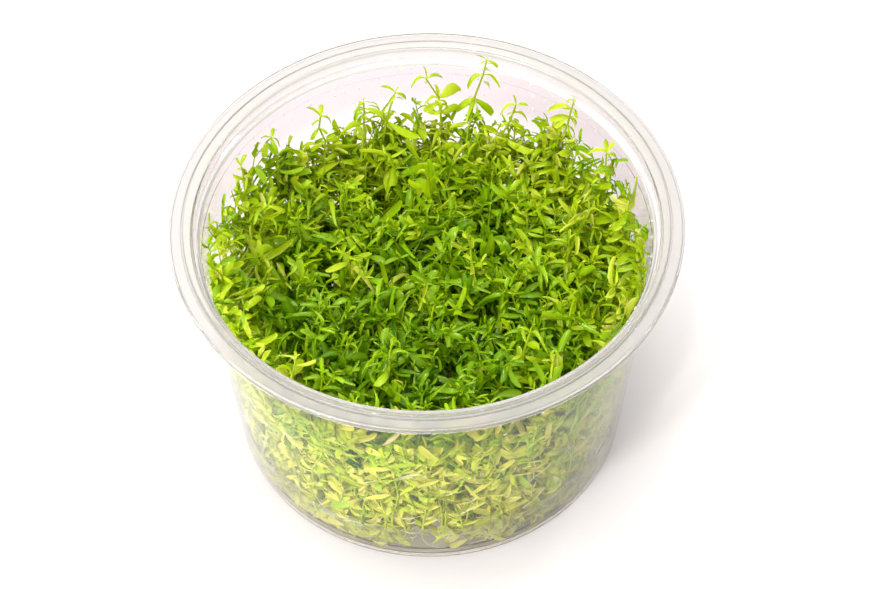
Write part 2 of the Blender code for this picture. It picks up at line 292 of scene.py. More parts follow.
def plant_finish(name, stops, glow_stops, glow, roughness, bending, wet):
    """A plant surface whose colour and glow both follow the tint attribute."""
    material, output = new_material(name)
    tree = material.node_tree
    tint = add_node(tree, "ShaderNodeAttribute", attribute_name="tint").outputs["Fac"]
    rib = add_node(tree, "ShaderNodeAttribute", attribute_name="rib").outputs["Fac"]
    place = add_node(tree, "ShaderNodeTexCoord").outputs["Object"]
    mottle = add_node(tree, "ShaderNodeTexNoise", {
        "Vector": place, "Scale": 700.0, "Detail": 2.0}).outputs["Fac"]
    shift = maths(tree, "MULTIPLY_ADD", mottle, 0.16, -0.08)
    age_and_shade = add_node(tree, "ShaderNodeMath", {
        0: tint, 1: shift}, operation="ADD", use_clamp=True).outputs["Value"]
    face = tinted(tree, maths(tree, "MULTIPLY", rib, RIB_AMOUNT),
                  colour_ramp(tree, age_and_shade, stops), RIB_PALE)
    # Painted highlight: old leaves get a pale border that stands in for the glint of water
    # along their edges.
    old = add_node(tree, "ShaderNodeMapRange", {
        "Value": tint, "From Min": 0.60, "From Max": 0.80, "To Min": 0.0, "To Max": wet})
    border = maths(tree, "POWER", maths(tree, "SUBTRACT", 1.0, rib), 3.0)
    border = maths(tree, "MULTIPLY", old.outputs["Result"], border)
    bump = add_node(tree, "ShaderNodeBump", {
        "Height": mottle, "Strength": 0.30, "Distance": 0.0001})
    skin = add_node(tree, "ShaderNodeBsdfPrincipled", {
        "Base Color": tinted(tree, border, face, PAINTED_EDGE_HIGHLIGHT), "Roughness": roughness,
        "IOR": bending, "Specular Tint": LEAF_SHEEN, "Normal": bump.outputs["Normal"]})
    light = add_node(tree, "ShaderNodeBsdfTranslucent", {
        "Color": colour_ramp(tree, age_and_shade, glow_stops)})
    mixed = blend(tree, glow, skin.outputs["BSDF"], light.outputs["BSDF"])
    tree.links.new(mixed, output.inputs["Surface"])
    return material


# %% Leaf green and stem green
leaf_green = plant_finish(
    "leaf green",
    [(0.0, (0.09, 0.28, 0.001)), (0.35, (0.33, 0.555, 0.001)),
     (0.65, (0.59, 0.70, 0.002)), (0.88, (0.76, 0.73, 0.08)), (1.0, (0.80, 0.68, 0.40))],
    [(0.0, (0.25, 0.60, 0.001)), (0.35, (0.58, 0.85, 0.001)),
     (0.65, (0.84, 0.95, 0.003)), (0.88, (0.94, 0.90, 0.12)), (1.0, (0.90, 0.78, 0.48))],
    glow=0.36, roughness=0.20, bending=1.56, wet=0.45)
stem_green = plant_finish(
    "stem green",
    [(0.0, (0.22, 0.44, 0.005)), (0.5, (0.44, 0.60, 0.01)), (1.0, (0.68, 0.70, 0.06))],
    [(0.0, (0.36, 0.60, 0.01)), (0.5, (0.60, 0.76, 0.02)), (1.0, (0.78, 0.80, 0.08))],
    glow=0.30, roughness=0.45, bending=1.30, wet=0.0)
print("made", leaf_green.name, "and", stem_green.name)

# %% [markdown]
# Roots are shiny white threads, and condensation is water. A clear drop this small would
# only bend the white wall behind it, so some white is mixed in to let it gleam.

# %% Roots and water drops
DROP_GLEAM = 0.20


def root_finish():
    """A pale wet thread."""
    material, output = new_material("white root")
    tree = material.node_tree
    skin = add_node(tree, "ShaderNodeBsdfPrincipled", {
        "Base Color": (0.96, 0.94, 0.74, 1.0), "Roughness": 0.30, "IOR": 1.6,
        "Coat Weight": 0.5, "Coat Roughness": 0.15})
    tree.links.new(skin.outputs["BSDF"], output.inputs["Surface"])
    return material


def water_finish():
    """Clear water with a white gleam."""
    material, output = new_material("water drop")
    tree = material.node_tree
    clear = add_node(tree, "ShaderNodeBsdfPrincipled", {
        "Base Color": (1.0, 1.0, 1.0, 1.0), "Roughness": 0.02,
        "IOR": 1.33, "Transmission Weight": 1.0})
    gleam = add_node(tree, "ShaderNodeBsdfDiffuse", {"Color": (1.0, 1.0, 0.95, 1.0)})
    wet = blend(tree, DROP_GLEAM, clear.outputs["BSDF"], gleam.outputs["BSDF"])
    let_lamps_through(tree, wet, output)
    return material


white_root = root_finish()
water_drop = water_finish()
print("made", white_root.name, "and", water_drop.name)

# %% [markdown]
# ## The cup
# The real cup is formed from one hot sheet over a mould, so its wall has the same
# thickness everywhere, and every line on it is a circle. A Screw modifier turns one
# profile round the axis. The profile runs up the inside, over the bead, down into the
# groove, out over the rolled flange and back down the outside. Hot sheet never makes a
# sharp corner, and it is the rounded corners that catch the light as bright lines, so
# each corner of the profile has a radius of its own.

# %% Turn a profile
TURN_STEPS = 160
CORNER_STEPS = 4
FLAT_GUARD = 0.04 * MM
# A round takes at most this share of the flat on either side of it
CORNER_REACH = 0.42


def rounded(corners):
    """A profile whose corners are turned on small radii, so that its flats stay flat.

    Each corner is (radius from the axis, height, radius of the round).
    """
    points = []
    for i, (x, z, size) in enumerate(corners):
        here = Vector((x, z))
        if size == 0.0:
            points.append(here)
            continue
        before = Vector(corners[i - 1][:2]) - here
        after = Vector(corners[i + 1][:2]) - here
        half = before.angle(after) / 2
        cut = min(size / math.tan(half), CORNER_REACH * before.length,
                  CORNER_REACH * after.length)
        size = cut * math.tan(half)
        before.normalize()
        after.normalize()
        centre = here + (before + after).normalized() * size / math.sin(half)
        first = here + before * cut - centre
        sweep = first.angle_signed(here + after * cut - centre)
        points.append(here + before * (cut + FLAT_GUARD))
        for step in range(CORNER_STEPS + 1):
            turn = Matrix.Rotation(-sweep * step / CORNER_STEPS, 2)
            points.append(centre + turn @ first)
        points.append(here + after * (cut + FLAT_GUARD))
    return [tuple(point) for point in points]


def arc(centre, radius, start, end, steps=8):
    """Points of an arc in the (radius, height) plane, its angles in degrees."""
    points = []
    for i in range(steps + 1):
        angle = math.radians(start + (end - start) * i / steps)
        points.append((centre[0] + radius * math.cos(angle),
                       centre[1] + radius * math.sin(angle)))
    return points


# %% Make a closed body from a profile
def new_piece(name, mesh):
    """An object that shows a mesh in the scene."""
    piece = bpy.data.objects.new(name, mesh)
    bpy.context.scene.collection.objects.link(piece)
    return piece


def apply_modifiers(piece):
    """Keeps what the modifiers make as the piece's plain mesh."""
    graph = bpy.context.evaluated_depsgraph_get()
    mesh = bpy.data.meshes.new_from_object(piece.evaluated_get(graph))
    piece.modifiers.clear()
    piece.data = mesh


def turned(name, profile, material):
    """A closed body turned from a profile that starts and ends on the axis."""
    mesh = bpy.data.meshes.new(name)
    edges = [(i, i + 1) for i in range(len(profile) - 1)]
    mesh.from_pydata([(x, 0.0, z) for x, z in profile], edges, [])
    piece = new_piece(name, mesh)
    screw = piece.modifiers.new("Turn", "SCREW")
    screw.steps = TURN_STEPS
    screw.render_steps = TURN_STEPS
    screw.use_merge_vertices = True
    screw.merge_threshold = 0.01 * MM
    mesh.materials.append(material)
    return finished(piece)


def finished(piece):
    """The piece with its modifiers applied, smooth, and with its faces outwards."""
    apply_modifiers(piece)
    bm = bmesh.new()
    bm.from_mesh(piece.data)
    bmesh.ops.recalc_face_normals(bm, faces=bm.faces)
    bm.to_mesh(piece.data)
    bm.free()
    piece.data.polygons.foreach_set("use_smooth", [True] * len(piece.data.polygons))
    return piece


# %% The cup's profile
RING_WIDTH = 1.2 * MM
PANEL_RISE = 0.6 * MM
NECK_RADIUS = RIM_RADIUS - 4.7 * MM
BEAD_WIDTH = 1.9 * MM
GROOVE_DEPTH = 0.8 * MM
FLANGE_STEP = 0.4 * MM
FLANGE_THICK = 0.5 * MM
FLANGE_DROP = 1.4 * MM
RIDGE_HEIGHT = 54.6 * MM
RIDGE_SIZE = 0.08 * MM


# %% Build the cup
def cup_profile():
    """Up the inside, over the bead, the groove and the flange, and down the outside."""
    ring_in = WALL_FOOT_RADIUS - CORNER_ROUND - RING_WIDTH
    panel = ring_in - PANEL_RISE
    bead_out = NECK_RADIUS + BEAD_WIDTH
    flange = CUP_HEIGHT - FLANGE_STEP
    skirt = CUP_HEIGHT - FLANGE_DROP
    ledge = LEDGE_HEIGHT - LEDGE_DIP
    ridge = wall_radius(RIDGE_HEIGHT) - RIDGE_SIZE
    inside = [
        (0.0, PANEL_RISE + WALL, 0.0), (panel, PANEL_RISE + WALL, 0.4 * MM),
        (ring_in, WALL, 0.4 * MM), (wall_radius(WALL), WALL, CORNER_ROUND - WALL),
        (wall_radius(RIDGE_HEIGHT), RIDGE_HEIGHT - 2 * RIDGE_SIZE, 0.3 * MM),
        (ridge, RIDGE_HEIGHT, 0.2 * MM),
        (wall_radius(RIDGE_HEIGHT), RIDGE_HEIGHT + 2 * RIDGE_SIZE, 0.3 * MM),
        (wall_radius(ledge), ledge, 0.7 * MM), (NECK_RADIUS, LEDGE_HEIGHT, 0.2 * MM)]
    rim = [
        (NECK_RADIUS, CUP_HEIGHT, 0.9 * MM), (bead_out, CUP_HEIGHT, 0.9 * MM),
        (bead_out, CUP_HEIGHT - GROOVE_DEPTH, 0.12 * MM),
        (bead_out + 0.3 * MM, CUP_HEIGHT - GROOVE_DEPTH, 0.12 * MM),
        (bead_out + 0.5 * MM, flange, 0.2 * MM), (RIM_RADIUS, flange, 0.3 * MM),
        (RIM_RADIUS, skirt, 0.12 * MM), (RIM_RADIUS - 0.4 * MM, skirt, 0.12 * MM),
        (RIM_RADIUS - 0.6 * MM, flange - FLANGE_THICK, 0.2 * MM),
        (NECK_RADIUS + WALL, flange - FLANGE_THICK, 0.2 * MM)]
    outside = [
        (NECK_RADIUS + WALL, ledge, 0.6 * MM),
        (WALL_TOP_RADIUS, LEDGE_HEIGHT - 1.0 * MM, 0.12 * MM),
        (WALL_FOOT_RADIUS - WALL_SLOPE * CORNER_ROUND, 0.0, CORNER_ROUND),
        (ring_in, 0.0, 0.3 * MM), (panel, PANEL_RISE, 0.3 * MM), (0.0, PANEL_RISE, 0.0)]
    return rounded(inside + rim + outside)


cup = turned("clear_cup", cup_profile(), clear_plastic)
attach(cup, "root")
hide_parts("cup")
print("cup:", len(cup.data.polygons), "faces")

# %% [markdown]
# ## The gel
# The gel was poured in hot and set, so it fills the foot of the cup and climbs a little
# at the wall. Its profile follows the inside of the cup, with a hair's gap left, because
# two clear surfaces in the same place would flicker.

# %% The gel's profile
GEL_GAP = 0.05 * MM
GEL_CLIMB = 0.7 * MM


def gel_profile():
    """From the middle of the gel's surface out to the wall, down and back."""
    corner = (WALL_FOOT_RADIUS - CORNER_ROUND, CORNER_ROUND)
    ring_in = corner[0] - RING_WIDTH
    panel = ring_in - PANEL_RISE
    edge = GEL_LEVEL + GEL_CLIMB
    edge_radius = wall_radius(edge) - GEL_GAP
    floor = WALL + GEL_GAP
    points = [(0.0, GEL_LEVEL), (edge_radius - 2.5 * MM, GEL_LEVEL)]
    points += [(edge_radius - 0.9 * MM, GEL_LEVEL + 0.25 * GEL_CLIMB)]
    points += [(edge_radius - 0.2 * MM, edge), (edge_radius, edge)]
    points += arc(corner, CORNER_ROUND - WALL - GEL_GAP, 0, -90)
    points += [(ring_in, floor), (panel, floor + PANEL_RISE), (0.0, floor + PANEL_RISE)]
    return points


gel = turned("milky_gel", gel_profile(), nutrient_gel)
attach(gel, "root")
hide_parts("nutrient_gel")
print("gel:", len(gel.data.polygons), "faces")

# %% [markdown]
# ## Leaf shapes
# Thousands of leaves need a leaf with only a few dozen faces. Each one is a thin closed
# blade, one unit long, with a top and an underside: narrow at its foot, widest past its
# middle and round at its tip. Six shapes with different arch, hollow and twist keep the
# mat from looking stamped. A seventh with fewer faces is for leaves deep in the mat. They
# wait in a collection of their own, in the order of their names, until they are planted.

# %% Build one leaf
# Stations along a blade: the place, and its width and thickness as shares of the widest
BLADE = ((0.08, 0.30, 0.06), (0.28, 0.66, 0.04), (0.50, 0.92, 0.03), (0.74, 1.0, 0.03),
         (0.92, 0.86, 0.02), (0.985, 0.54, 0.01))
PLAIN_BLADE = ((0.20, 0.60, 0.05), (0.60, 1.0, 0.03), (0.92, 0.80, 0.02))


def leaf_shape(name, width, arch, hollow, twist, home, blade=BLADE):
    """A leaf along +X from its foot at the origin, its upper face towards +Z."""
    bm = bmesh.new()
    rib_layer = bm.verts.layers.float.new("rib")

    def bend(share, across, rise):
        """A point of the blade, twisted and arched by how far along it is."""
        angle = twist * share
        y = across * math.cos(angle) - rise * math.sin(angle)
        z = across * math.sin(angle) + rise * math.cos(angle)
        drop = arch * share * share
        vert = bm.verts.new((share - 0.3 * drop, y, z - drop + 0.35 * arch * share))
        vert[rib_layer] = 1.0 if across == 0.0 else 0.0
        return vert

    foot = bend(0.0, 0.0, 0.0)
    tip = bend(1.0, 0.0, 0.0)
    rings = []
    for share, wide, thick in blade:
        half = 0.5 * width * wide
        edge = hollow * half
        rings.append([bend(share, half, edge), bend(share, 0.0, thick * width),
                      bend(share, -half, edge), bend(share, 0.0, -thick * width)])
    borders = [[foot] + [ring[side] for ring in rings] + [tip] for side in (0, 2)]
    for i in range(4):
        j = (i + 1) % 4
        bm.faces.new((foot, rings[0][j], rings[0][i]))
        bm.faces.new((tip, rings[-1][i], rings[-1][j]))
        for low, high in zip(rings, rings[1:]):
            bm.faces.new((low[i], low[j], high[j], high[i]))
    bmesh.ops.recalc_face_normals(bm, faces=bm.faces)
    for border in borders:
        for low, high in zip(border, border[1:]):
            bm.edges.get((low, high)).smooth = False
    mesh = bpy.data.meshes.new(name)
    bm.to_mesh(mesh)
    bm.free()
    mesh.polygons.foreach_set("use_smooth", [True] * len(mesh.polygons))
    mesh.materials.append(leaf_green)
    shape = bpy.data.objects.new(name, mesh)
    home.objects.link(shape)
    return shape


# %% Build the seven shapes
leaf_shapes = bpy.data.collections.new("leaf shapes")
bpy.context.scene.collection.children.link(leaf_shapes)
leaf_shape("leaf a flat", 0.25, 0.35, 0.65, 0.6, leaf_shapes)
leaf_shape("leaf b arched", 0.25, 0.90, 0.75, -1.1, leaf_shapes)
leaf_shape("leaf c broad", 0.32, 0.55, -0.50, 0.9, leaf_shapes)
leaf_shape("leaf d curled", 0.25, 1.30, 0.80, 1.4, leaf_shapes)
leaf_shape("leaf e hooked", 0.26, 1.10, -0.60, -1.7, leaf_shapes)
leaf_shape("leaf f raised", 0.27, -0.70, 0.70, 1.1, leaf_shapes)
leaf_shape("leaf g plain", 0.28, 0.50, 0.40, 0.3, leaf_shapes, PLAIN_BLADE)
FLAT, ARCHED, BROAD, CURLED, HOOKED, RAISED, PLAIN = range(len(leaf_shapes.objects))
for shape in leaf_shapes.objects:
    print(shape.name, "has", len(shape.data.polygons), "faces")

# %% [markdown]
# ## A Geometry Nodes tree that dresses stems
# The script says where each stem runs and where each leaf sits, as a mesh of bare edges
# and single points. The tree does the rest: edges become tubes, points become leaves,
# and whatever would stick out through the cup is pressed flat against its wall or its
# floor, just as the real leaves are. The press never makes two leaves share one surface,
# because it squeezes the last bit of room instead of cutting it off.

# %% Helpers for node trees
def new_tree(name, inputs):
    """A geometry tree with named inputs, and its input and output nodes."""
    tree = bpy.data.node_groups.new(name, "GeometryNodeTree")
    tree.interface.new_socket("Geometry", in_out="INPUT", socket_type="NodeSocketGeometry")
    for label, kind in inputs:
        tree.interface.new_socket(label, in_out="INPUT", socket_type="NodeSocket" + kind)
    tree.interface.new_socket("Geometry", in_out="OUTPUT", socket_type="NodeSocketGeometry")
    return tree, tree.nodes.new("NodeGroupInput").outputs, tree.nodes.new("NodeGroupOutput")


def named(tree, name, kind="FLOAT"):
    """The value of a named attribute."""
    node = add_node(tree, "GeometryNodeInputNamedAttribute", {"Name": name}, data_type=kind)
    return node.outputs["Attribute"]


def tubes_along(tree, mesh, sides, radius, scale=1.0):
    """Closed tubes along the edges of a mesh."""
    lines = add_node(tree, "GeometryNodeMeshToCurve", {"Mesh": mesh})
    ring = add_node(tree, "GeometryNodeCurvePrimitiveCircle", {
        "Resolution": sides, "Radius": radius})
    tubes = add_node(tree, "GeometryNodeCurveToMesh", {
        "Curve": lines.outputs["Curve"], "Profile Curve": ring.outputs["Curve"],
        "Scale": scale, "Fill Caps": True})
    return tubes.outputs["Mesh"]


def copies_on(tree, points, inputs):
    """Real copies of a shape, each with the turn and the size that its point carries."""
    copies = add_node(tree, "GeometryNodeInstanceOnPoints", {
        "Points": points, "Rotation": named(tree, "turn", "FLOAT_VECTOR"),
        "Scale": named(tree, "size", "FLOAT_VECTOR"), **inputs})
    real = add_node(tree, "GeometryNodeRealizeInstances", {
        "Geometry": copies.outputs["Instances"]})
    return real.outputs["Geometry"]


def finish_set(tree, geometry, finish):
    """Geometry with a material."""
    return add_node(tree, "GeometryNodeSetMaterial", {
        "Geometry": geometry, "Material": finish}).outputs["Geometry"]


def end_smooth(tree, geometry, out):
    """Shades the geometry smooth and ends the tree with it."""
    smooth = add_node(tree, "GeometryNodeSetShadeSmooth", {"Geometry": geometry})
    tree.links.new(smooth.outputs["Geometry"], out.inputs["Geometry"])


# %% Press into the cup
def squeeze(tree, over, depth):
    """How far a point goes into the last bit of room, which it never quite fills."""
    power = maths(tree, "MULTIPLY", maths(tree, "DIVIDE", over, depth), -1.0)
    return maths(tree, "SUBTRACT", 1.0, maths(tree, "EXPONENT", power))


def press_into_cup(tree, geometry, foot_radius, slope, floor_height, depth):
    """Moves points so that none is beyond the cup's wall or below its floor."""
    place = add_node(tree, "GeometryNodeInputPosition").outputs["Position"]
    split = add_node(tree, "ShaderNodeSeparateXYZ", {"Vector": place}).outputs
    free = maths(tree, "ADD", floor_height, depth)
    under = maths(tree, "MAXIMUM", maths(tree, "SUBTRACT", free, split["Z"]), 0.0)
    sunk = maths(tree, "MULTIPLY", squeeze(tree, under, depth), -1.0)
    level = maths(tree, "MULTIPLY_ADD", sunk, depth, maths(tree, "MAXIMUM", split["Z"], free))
    squares = maths(tree, "ADD", maths(tree, "MULTIPLY", split["X"], split["X"]),
                    maths(tree, "MULTIPLY", split["Y"], split["Y"]))
    radius = maths(tree, "MAXIMUM", maths(tree, "SQRT", squares), 1e-6)
    limit = maths(tree, "MULTIPLY_ADD", level, slope, foot_radius)
    free = maths(tree, "SUBTRACT", limit, depth)
    over = maths(tree, "MAXIMUM", maths(tree, "SUBTRACT", radius, free), 0.0)
    held = maths(tree, "MULTIPLY_ADD", squeeze(tree, over, depth), depth,
                 maths(tree, "MINIMUM", radius, free))
    share = maths(tree, "DIVIDE", held, radius)
    moved = add_node(tree, "ShaderNodeCombineXYZ", {
        "X": maths(tree, "MULTIPLY", split["X"], share),
        "Y": maths(tree, "MULTIPLY", split["Y"], share), "Z": level})
    return add_node(tree, "GeometryNodeSetPosition", {
        "Geometry": geometry, "Position": moved.outputs["Vector"]}).outputs["Geometry"]


# %% The tree
def stem_dressing_tree():
    """The tree that turns bare edges into stems and points into leaves."""
    tree, given, out = new_tree("dress stems", [
        ("Leaf shapes", "Collection"), ("Stem sides", "Int"), ("Wall radius at foot", "Float"),
        ("Wall slope", "Float"), ("Floor height", "Float"), ("Press depth", "Float"),
        ("Stem finish", "Material")])
    split = add_node(tree, "GeometryNodeSeparateGeometry", {
        "Geometry": given["Geometry"], "Selection": named(tree, "is_leaf", "BOOLEAN")})
    stems = tubes_along(tree, split.outputs["Inverted"], given["Stem sides"], 1.0,
                        named(tree, "thickness"))
    shapes = add_node(tree, "GeometryNodeCollectionInfo", {
        "Collection": given["Leaf shapes"], "Separate Children": True, "Reset Children": True})
    leaves = copies_on(tree, split.outputs["Selection"], {
        "Instance": shapes.outputs["Instances"], "Pick Instance": True,
        "Instance Index": named(tree, "kind", "INT")})
    both = add_node(tree, "GeometryNodeJoinGeometry")
    tree.links.new(leaves, both.inputs["Geometry"])
    tree.links.new(finish_set(tree, stems, given["Stem finish"]), both.inputs["Geometry"])
    pressed = press_into_cup(tree, both.outputs["Geometry"], given["Wall radius at foot"],
                             given["Wall slope"], given["Floor height"], given["Press depth"])
    end_smooth(tree, pressed, out)
    return tree


dress_stems = stem_dressing_tree()
STEM_SIDES = 5
PRESS_DEPTH = 0.7 * MM
WALL_CLEARANCE = 0.15 * MM
LOWEST_LEAF = 2.2 * MM


# %% Run a tree on a piece
def through_tree(piece, tree, values):
    """Runs a tree on a piece and keeps the result as its plain mesh."""
    modifier = piece.modifiers.new(tree.name, "NODES")
    modifier.node_group = tree
    for socket in tree.interface.items_tree:
        if socket.in_out == "INPUT" and socket.name in values:
            modifier[socket.identifier] = values[socket.name]
    apply_modifiers(piece)
    return piece


print("tree:", dress_stems.name, "with", len(dress_stems.nodes), "nodes")

# %% [markdown]
# ## How a stem grows
# Pearlweed sets its leaves in opposite pairs, each pair turned a quarter from the last.
# The pairs stand close together and steep at the tip, and further apart and flatter
# below. These rules are a few lines of Python, because they are simpler to read there
# than as nodes. A `Plant` collects the edges and the points of one piece.

# %% Collect stems and leaves
STEM_TAPER = 0.45


def add_vectors(mesh, key, numbers):
    """Gives each point of a mesh a vector attribute, from one flat list."""
    mesh.attributes.new(key, "FLOAT_VECTOR", "POINT").data.foreach_set("vector", numbers)


class Plant:
    """The bare edges and points that the tree turns into stems and leaves."""

    def __init__(self):
        self.points = []
        self.edges = []
        self.values = {"is_leaf": [], "thickness": [], "tint": [], "kind": []}
        self.turns = []
        self.sizes = []

    def add_point(self, place, is_leaf, thickness, tint, kind, turn, size):
        """One point, with what the tree needs to know about it."""
        self.points.append(place)
        for key, value in zip(self.values, (is_leaf, thickness, tint, kind)):
            self.values[key].append(value)
        self.turns.extend(turn)
        self.sizes.extend(size)

    def add_stem(self, path, thick, tint):
        """A stem along a path, which thins towards its tip."""
        start = len(self.points)
        for i, place in enumerate(path):
            share = i / (len(path) - 1)
            self.add_point(place, False, thick * (1 - STEM_TAPER * share), tint, 0,
                           (0, 0, 0), (0, 0, 0))
        self.edges += [(start + i, start + i + 1) for i in range(len(path) - 1)]

    def add_leaf(self, place, along, up, length, width, tint, kind):
        """A leaf that points along one direction, with its upper face to another."""
        x = along.normalized()
        y = up.cross(x).normalized()
        z = x.cross(y)
        turn = Matrix((x, y, z)).transposed().to_euler()
        self.add_point(place, True, 0.0, tint, kind, turn, (length, length * width, length))

    def piece(self, name):
        """One joined mesh of all the stems and leaves."""
        mesh = bpy.data.meshes.new(name)
        mesh.from_pydata(self.points, self.edges, [])
        kinds = {"is_leaf": "BOOLEAN", "thickness": "FLOAT", "tint": "FLOAT", "kind": "INT"}
        for key, kind in kinds.items():
            layer = mesh.attributes.new(key, kind, "POINT")
            layer.data.foreach_set("value", self.values[key])
        add_vectors(mesh, "turn", self.turns)
        add_vectors(mesh, "size", self.sizes)
        return through_tree(new_piece(name, mesh), dress_stems, {
            "Leaf shapes": leaf_shapes, "Stem sides": STEM_SIDES,
            "Wall radius at foot": wall_radius(0.0) - WALL_CLEARANCE,
            "Wall slope": WALL_SLOPE, "Floor height": LOWEST_LEAF, "Press depth": PRESS_DEPTH,
            "Stem finish": stem_green})


# %% [markdown]
# A pair's tint can follow its distance from the tip: down the stems at the wall the leaves
# grow older and yellower, and down the stems inside the mat they grow darker, which is
# painted shade for the deep leaves. Every leaf gets a little chance in its turn, tilt,
# length and tint. Leaves near the wall take the flatter shapes and turn their faces to it.
# All chance comes from one seeded generator, `dice`, so the plant is the same each time.

# %% Leaves along a stem
LEAF_LENGTH = 5.5 * MM
LEAF_TURN_SPREAD = 0.40
LEAF_TILT_SPREAD = 24
LEAF_FACE_SPREAD = 0.8
PRESSED_TILT_SPREAD = 20
LEAF_MARGIN = 0.3 * MM
AGE_SPREAD = 0.07
PRESSED_AGE_SPREAD = 0.12
OLDEST_AT_WALL = 0.86
OLDEST_ABOVE = 0.72
YELLOWED = 0.010
FALLEN = 0.12
# Every kind stands in its list as often as it is to be picked
TIP_KINDS = (FLAT, ARCHED)
FREE_KINDS = (FLAT, ARCHED, ARCHED, BROAD, BROAD, CURLED, CURLED, HOOKED, RAISED)
PRESSED_KINDS = (FLAT, FLAT, BROAD, BROAD, BROAD, RAISED)
NO_PLAIN_PAIR = 99
# For each pair from the tip down: the room below it, its size, and its angle to the stem
TIP_PAIRS = (
    (1.1 * MM, 0.42, 26), (2.0 * MM, 0.72, 44), (2.9 * MM, 0.95, 58),
    (3.5 * MM, 1.05, 68), (4.0 * MM, 1.00, 76), (4.3 * MM, 0.95, 84),
)


# %% Keep a leaf inside the cup
def along_wall(place, along, face, long):
    """Turns a leaf that would poke through the wall, so that it lies flat against it."""
    tip = place + along * long
    over = tip.xy.length - wall_radius(tip.z) + LEAF_MARGIN
    if over <= 0.0:
        return along, face
    outward = Vector((tip.x, tip.y, 0.0)).normalized()
    share = min(1.0, over / (0.4 * long))
    along = (along - outward * (along.dot(outward) * share)).normalized()
    facing = 1.0 if face.dot(outward) > 0 else -1.0
    return along, face.lerp(outward * facing, 0.85 * share)


def path_point(path, below):
    """The place, and the direction towards the tip, at a distance below a path's tip."""
    for low, high in zip(reversed(path[:-1]), reversed(path)):
        step = (high - low).length
        if below <= step:
            return high.lerp(low, below / step), (high - low).normalized()
        below -= step
    return path[0].copy(), (path[1] - path[0]).normalized()


# %% Pairs of leaves down a stem
def leaf_pairs(plant, path, tint, dice, bare_below, age_and_depth_shade=0.0, vigour=1.0, pressed=0.0,
               first=0, below=0.2 * MM, crowding=1.0, plain_from=NO_PLAIN_PAIR):
    """Pairs of leaves from a stem's tip down to a depth, and the places of its nodes."""
    length = sum((high - low).length for low, high in zip(path, path[1:]))
    oldest = OLDEST_AT_WALL if pressed > 0.0 else OLDEST_ABOVE
    kinds = PRESSED_KINDS if pressed > 0.0 else FREE_KINDS
    angle = dice.uniform(0, math.pi)
    nodes = []
    pair = first
    while below < min(length, bare_below):
        room, size, spread = TIP_PAIRS[min(pair, len(TIP_PAIRS) - 1)]
        place, up = path_point(path, below)
        side = up.orthogonal().normalized()
        for half in (0.0, math.pi):
            if pair > 4 and dice.random() < FALLEN:
                continue
            turn = angle + half + dice.gauss(0, LEAF_TURN_SPREAD)
            outward = Matrix.Rotation(turn, 3, up) @ side
            tilt_spread = LEAF_TILT_SPREAD + PRESSED_TILT_SPREAD * pressed
            tilt = math.radians(spread + dice.gauss(0, tilt_spread))
            along = up * math.cos(tilt) + outward * math.sin(tilt)
            face = up * math.sin(tilt) - outward * math.cos(tilt)
            face = Matrix.Rotation(dice.gauss(0, LEAF_FACE_SPREAD), 3, along) @ face
            long = LEAF_LENGTH * size * vigour * dice.uniform(0.7, 1.3)
            age_spread = AGE_SPREAD + PRESSED_AGE_SPREAD * pressed
            # Down a stem the tint moves with each pair: older and yellower at the wall, darker
            # inside the mat as painted shade.
            age_and_shade = min(tint + age_and_depth_shade * min(pair, 8) + dice.gauss(0, age_spread), oldest)
            if dice.random() < YELLOWED:
                age_and_shade = dice.uniform(0.80, 1.0 if pressed > 0.0 else 0.86)
            kind = dice.choice(kinds if pair > 0 else TIP_KINDS)
            kind = PLAIN if pair >= plain_from else kind
            if pressed > 0.0:
                face = face.lerp(Vector((place.x, place.y, 0.0)).normalized(), pressed)
            along, face = along_wall(place, along, face, long)
            wide = dice.uniform(0.8, 1.15) + 0.2 * pressed
            plant.add_leaf(place, along, face, long, wide, age_and_shade, kind)
        nodes.append((place, up, angle, pair))
        angle += math.pi / 2
        below += room * crowding * dice.uniform(0.85, 1.2)
        pair += 1
    return nodes


# %% Young side shoots
def side_shoot(plant, place, up, angle, tint, dice):
    """A short young shoot from a leaf's foot, with two or three pairs of its own."""
    side = Matrix.Rotation(angle + math.pi / 2 + dice.gauss(0, 0.4), 3, up) @ up.orthogonal()
    long = dice.uniform(2.5, 6.0) * MM
    lean = side.normalized() * 0.75 + up * 0.65
    path = [place]
    for _ in range(3):
        lean = (lean + Vector((0, 0, 0.35))).normalized()
        path.append(path[-1] + lean * long / 3)
    plant.add_stem(path, 0.2 * MM, tint)
    leaf_pairs(plant, path, tint, dice, 0.8 * long, vigour=0.8)


print("a full leaf is", round(LEAF_LENGTH / MM, 1), "mm long")

# %% [markdown]
# ## The mat of tufts
# The CAD part has thirty tufts, one for each cutting, set out in a spiral. Here each of
# them becomes a bunch of single stems, and each stem belongs to the tuft that is nearest.
# A stem follows the flare of the cup, sways a little and leans at its tip. The mat's top
# is a shallow dish that climbs towards the wall.

# %% Set out the cuttings
GOLDEN_ANGLE = math.pi * (3 - math.sqrt(5))
GEL_RADIUS = wall_radius(GEL_LEVEL)
TUFTS = 30
TUFT_SPREAD = 0.96
MAT_HEIGHT = 38.5 * MM
MAT_DISH = 3.0 * MM
MAT_SIDES = 3.0 * MM
STEM_STEPS = 8
WALL_ROOM = 0.7 * MM
SEED = 11


# %% Rules for places and heights
def spiral(count, spread):
    """Places set out evenly over the gel's surface."""
    places = []
    for i in range(count):
        radius = GEL_RADIUS * spread * math.sqrt((i + 0.5) / count)
        angle = i * GOLDEN_ANGLE
        places.append(Vector((radius * math.cos(angle), radius * math.sin(angle))))
    return places


def mat_top(flat):
    """Height of the mat over a place on the gel: it climbs a little at the wall."""
    edge = flat.length / GEL_RADIUS
    side = flat.x / GEL_RADIUS
    return MAT_HEIGHT + MAT_DISH * edge ** 2 + MAT_SIDES * side ** 2


def scatter(dice, spread):
    """A small step to any side, its spread in mm."""
    return Vector((dice.gauss(0, spread), dice.gauss(0, spread))) * MM


